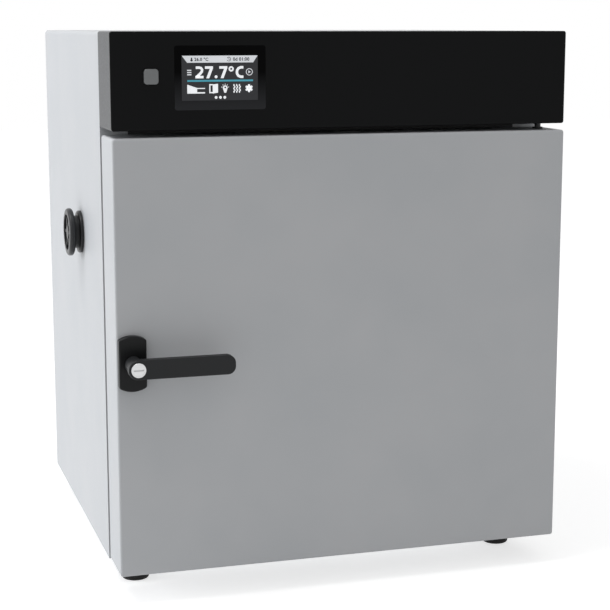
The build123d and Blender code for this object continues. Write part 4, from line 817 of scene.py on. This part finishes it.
    def icons(self) -> None:
        """The row of icons: ramp, cabinet, lamp, heat and cold, and the page dots."""
        slope = [(6.2, 35.1), (18.3, 39.2), (18.3, 45.8), (6.2, 45.8)]
        rails = [[(18.3, 39.2), (28.0, 39.2), (28.0, 40.4), (18.3, 40.4)],
                 [(18.3, 44.2), (28.0, 44.2), (28.0, 45.8), (18.3, 45.8)]]
        self.flat("icon_ramp", [slope, *rails], SCREEN_WHITE, 2)
        case = [[(33.3, 34.7), (34.7, 34.7), (34.7, 45.6), (33.3, 45.6)],
                [(34.7, 34.7), (37.5, 34.7), (37.5, 36.2), (34.7, 36.2)],
                [(34.7, 44.2), (37.5, 44.2), (37.5, 45.6), (34.7, 45.6)],
                [(37.5, 35.1), (44.1, 34.4), (44.1, 45.0), (37.5, 46.0)]]
        self.flat("icon_cabinet", case, SCREEN_WHITE, 2)
        self.lamp_icon()
        waves = []
        for x in (64.4, 67.8, 71.2):
            steps = [i / 24 for i in range(25)]
            waves.append([(x - 0.75 * math.sin(t * 5 * math.pi), 35.2 + 10.0 * t) for t in steps])
        self.strokes("icon_heat", waves, 1.3, SCREEN_WHITE)
        petals = [self.disc((82.7, 40.1), 2.7)]
        for i in range(6):
            turn = math.radians(60 * i + 90)
            petals.append(self.disc((82.7 + 3.4 * math.cos(turn), 40.1 - 3.4 * math.sin(turn)), 1.5, 14))
        self.flat("icon_cold", petals, SCREEN_WHITE, 2)
        dots = [self.disc((x, 50.7), 1.7, 20) for x in (41.6, 47.0, 52.4)]
        self.flat("page_dots", dots, SCREEN_WHITE, 2)

    def lamp_icon(self) -> None:
        """The lamp: a bulb that tapers to its foot, with rays round its head."""
        x, y, radius, foot = 53.0, 39.3, 2.9, 45.2
        turns = [math.radians(200 - 220 * i / 16) for i in range(17)]
        bulb = [(x + radius * math.cos(t), y - radius * math.sin(t)) for t in turns]
        self.flat("icon_lamp_bulb", [[*bulb, (x + 1.2, foot), (x - 1.2, foot)]], SCREEN_WHITE, 2)
        self.flat("icon_lamp_eye", [self.disc((x, y - 0.4), 1.1, 14)], SCREEN_DARK, 3)
        rays = []
        for degrees in (12, 51, 90, 129, 168):
            c, s = math.cos(math.radians(degrees)), math.sin(math.radians(degrees))
            rays.append([(x + 3.6 * c, y - 3.6 * s), (x + 4.9 * c, y - 4.9 * s)])
        self.strokes("icon_lamp_rays", rays, 0.75, SCREEN_WHITE)

    def build(self) -> None:
        """Builds the whole display."""
        self.cover()
        self.screen()
        self.status_bar()
        self.readout()
        self.icons()


@dataclass
class DoorGasket:
    """The silicone gasket round the door's inner face, with a bellows section.

    Sizes are in metres. The section is in shares of the gasket's width and depth, and it stops
    short of the full depth.
    """

    width: float = 0.022
    corner: float = 0.014
    corner_steps: int = 8
    section_steps: int = 3
    deepest: float = 0.995
    profile: tuple[Point2, ...] = (
        (0.000, 0.00), (0.000, 0.14), (0.030, 0.20), (0.160, 0.24), (0.205, 0.36), (0.150, 0.50),
        (0.130, 0.64), (0.200, 0.80), (0.330, 0.93), (0.500, 0.99), (0.670, 0.93), (0.800, 0.80),
        (0.870, 0.64), (0.850, 0.50), (0.795, 0.36), (0.840, 0.24), (0.970, 0.20), (1.000, 0.14),
        (1.000, 0.00))

    def build(self) -> None:
        """Sweeps the section round the door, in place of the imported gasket."""
        low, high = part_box("door_gasket")
        centre = ((low.x + high.x) / 2, (low.z + high.z) / 2)
        section = Maker.smoothed(list(self.profile), self.section_steps)
        shell = bmesh.new()
        loops = []
        for across, deep in section:
            across, deep = min(1.0, max(0.0, across)), min(self.deepest, max(0.0, deep))
            inset = across * self.width
            outline = Maker.rounded(centre, high.x - low.x - 2 * inset, high.z - low.z - 2 * inset,
                                    self.corner + self.width - inset, self.corner_steps)
            y = low.y + deep * (high.y - low.y)
            loops.append([shell.verts.new((x, y, z)) for x, z in outline])
        Maker.walls(shell, loops + loops[:1])
        piece = Maker.piece("door_gasket_bellows", shell, SILICONE, "door", "silicone", smooth=True)
        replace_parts(piece, "door_gasket")


@dataclass
class ButtonScrews:
    """Button-head screws with hexagon sockets, seated on sheet metal, in metres."""

    radius: float = 0.0034
    head: float = 0.0018
    socket: float = 0.0016
    depth: float = 0.0011
    sides: int = 24
    leaf_sheet: float = 0.003
    leaf_inset: float = 0.008
    leaf_below_top: float = 0.009
    baffle_inset: float = 0.012

    def screw(self, shell: bmesh.types.BMesh, place: Vector, seat: float) -> None:
        """Adds one screw that faces the front.

        Args:
            shell: the mesh that grows.
            place: where its axis is, in x and z.
            seat: the plane under its head.
        """
        rings = [(self.radius, seat), (self.radius, seat - self.head * 0.35),
                 (self.radius * 0.86, seat - self.head * 0.8), (self.radius * 0.62, seat - self.head),
                 (0.0, seat - self.head), (0.0, seat - self.head + self.depth)]
        loops = []
        for radius, y in rings:
            loop = []
            for i in range(self.sides):
                turn = 2 * math.pi * i / self.sides
                wedge = (turn % (math.pi / 3)) - math.pi / 6
                reach = radius if radius else self.socket * math.cos(math.pi / 6) / math.cos(wedge)
                x, z = place.x + reach * math.cos(turn), place.z + reach * math.sin(turn)
                loop.append(shell.verts.new((x, y, z)))
            loops.append(loop)
        shell.faces.new(loops[0])
        shell.faces.new(list(reversed(loops[-1])))
        Maker.walls(shell, loops)

    def row(self, name: str, places: list[Vector], seat: float) -> None:
        """Builds a set of plated screws as one piece.

        Args:
            name: the piece's name.
            places: where they sit, in x and z.
            seat: the plane that they are screwed down on.
        """
        shell = bmesh.new()
        for place in places:
            self.screw(shell, place, seat)
        Maker.piece(name, shell, PLATED, "cabinet", "zinc_screws")

    def build(self) -> None:
        """Screws the lower hinge bracket and the air baffle down."""
        low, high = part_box("hinge_bracket_lower")
        z = high.z - self.leaf_below_top
        across = (low.x + self.leaf_inset, high.x - self.leaf_inset)
        self.row("hinge_screws", [Vector((x, 0, z)) for x in across], high.y - self.leaf_sheet)
        low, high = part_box("air_baffle")
        xs = (low.x + self.baffle_inset, high.x - self.baffle_inset)
        zs = (low.z + self.baffle_inset, high.z - self.baffle_inset)
        self.row("baffle_screws", [Vector((x, 0, z)) for x in xs for z in zs], low.y)


@dataclass(frozen=True)
class Softbox:
    """A soft rectangular lamp: its place in metres, its size, its power in watts and its colour."""

    name: str
    place: Point3
    size: Point2
    power: float
    colour: Colour

    def hang(self, aim: Vector) -> None:
        """Hangs the lamp.

        Args:
            aim: the point that it faces.
        """
        light = bpy.data.lights.new(self.name, "AREA")
        light.shape = "RECTANGLE"
        light.size, light.size_y = self.size
        light.energy = self.power
        light.color = self.colour
        lamp = bpy.data.objects.new(self.name, light)
        lamp.location = self.place
        lamp.rotation_euler = (aim - Vector(self.place)).to_track_quat("-Z", "Y").to_euler()
        bpy.context.scene.collection.objects.link(lamp)


@dataclass
class Studio:
    """The plain floor, the soft lamps, the pale surroundings and the camera."""

    floor_half: float = 9.0
    floor_colour: Colour = (0.80, 0.80, 0.80)
    floor_lift: float = 0.64
    surround: float = 0.47
    eye: Point3 = (-0.61105, -2.1254, 0.7165)
    eye_down: float = 10.02
    eye_turn: float = 16.85
    lens: float = 93.28
    sensor: float = 36.0
    middle: Point3 = (0.0, 0.0, 0.35)
    softboxes: tuple[Softbox, ...] = (
        Softbox("left_softbox", (-2.7, 0.7, 0.7), (1.6, 1.6), 28.0, (0.93, 0.96, 1.0)),
        Softbox("top_softbox", (-1.1, -0.2, 2.7), (1.2, 1.2), 24.0, (1.0, 1.0, 1.0)))

    def floor(self) -> None:
        """A wide pale floor that keeps the object's shadow and is white to the camera."""
        shell = bmesh.new()
        half = self.floor_half
        shell.faces.new([shell.verts.new((x, y, 0.0)) for x, y in
                         ((-half, -half), (half, -half), (half, half), (-half, half))])
        mesh = bpy.data.meshes.new("studio_floor")
        shell.to_mesh(mesh)
        shell.free()
        floor = bpy.data.objects.new("studio_floor", mesh)
        bpy.context.scene.collection.objects.link(floor)
        desk = ShaderDesk("studio_floor_pale")
        desk.surface.inputs["Base Color"].default_value = (*self.floor_colour, 1.0)
        desk.surface.inputs["Roughness"].default_value = 0.9
        desk.surface.inputs["Specular IOR Level"].default_value = 0.0
        desk.surface.inputs["Emission Color"].default_value = (1.0, 1.0, 1.0, 1.0)
        lift = desk.sum(self.seen(desk.tree), self.floor_lift, "MULTIPLY")
        desk.wire(desk.surface, Emission_Strength=lift)
        mesh.materials.append(desk.material)

    @staticmethod
    def seen(tree: bpy.types.NodeTree) -> bpy.types.NodeSocket:
        """Whether a ray comes from the camera, a mirror or a glass.

        Args:
            tree: the nodes of the floor or of the surroundings.
        Returns:
            1 for such a ray, 0 for one that only lights.
        """
        path = tree.nodes.new("ShaderNodeLightPath")
        kind = path.outputs["Is Camera Ray"]
        for name in ("Is Glossy Ray", "Is Transmission Ray"):
            either = tree.nodes.new("ShaderNodeMath")
            either.operation = "MAXIMUM"
            tree.links.new(kind, either.inputs[0])
            tree.links.new(path.outputs[name], either.inputs[1])
            kind = either.outputs[0]
        return kind

    def surroundings(self) -> None:
        """A white background that lights the object only softly."""
        world = bpy.data.worlds.new("studio_surroundings")
        bpy.context.scene.world = world
        world.use_nodes = True
        tree = world.node_tree
        tree.nodes.clear()
        strength = tree.nodes.new("ShaderNodeMapRange")
        strength.inputs["To Min"].default_value = self.surround
        strength.inputs["To Max"].default_value = 1.0
        tree.links.new(self.seen(tree), strength.inputs["Value"])
        background = tree.nodes.new("ShaderNodeBackground")
        background.inputs["Color"].default_value = (1.0, 1.0, 1.0, 1.0)
        tree.links.new(strength.outputs[0], background.inputs["Strength"])
        out = tree.nodes.new("ShaderNodeOutputWorld")
        tree.links.new(background.outputs[0], out.inputs["Surface"])

    def camera(self) -> None:
        """The camera at the photograph's viewing angle."""
        view = bpy.data.cameras.new("photo_view")
        view.sensor_width = self.sensor
        view.lens = self.lens
        eye = bpy.data.objects.new("photo_view", view)
        eye.location = self.eye
        eye.rotation_euler = (math.radians(90 - self.eye_down), 0.0, -math.radians(self.eye_turn))
        bpy.context.scene.collection.objects.link(eye)
        bpy.context.scene.camera = eye

    def build(self) -> None:
        """Sets up the whole studio."""
        bpy.context.scene.view_settings.view_transform = "Standard"
        self.floor()
        self.surroundings()
        for softbox in self.softboxes:
            softbox.hang(Vector(self.middle))
        self.camera()


def main() -> None:
    """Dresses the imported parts, builds the added pieces and sets up the studio."""
    logging.basicConfig(level=logging.INFO, format="%(name)s: %(message)s")
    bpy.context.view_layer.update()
    dress_packed_parts()
    for assembly in (TouchDisplay(), DoorGasket(), ButtonScrews(), Studio()):
        log.info("building %s", type(assembly).__name__)
        assembly.build()


if __name__ == "__main__":
    main()
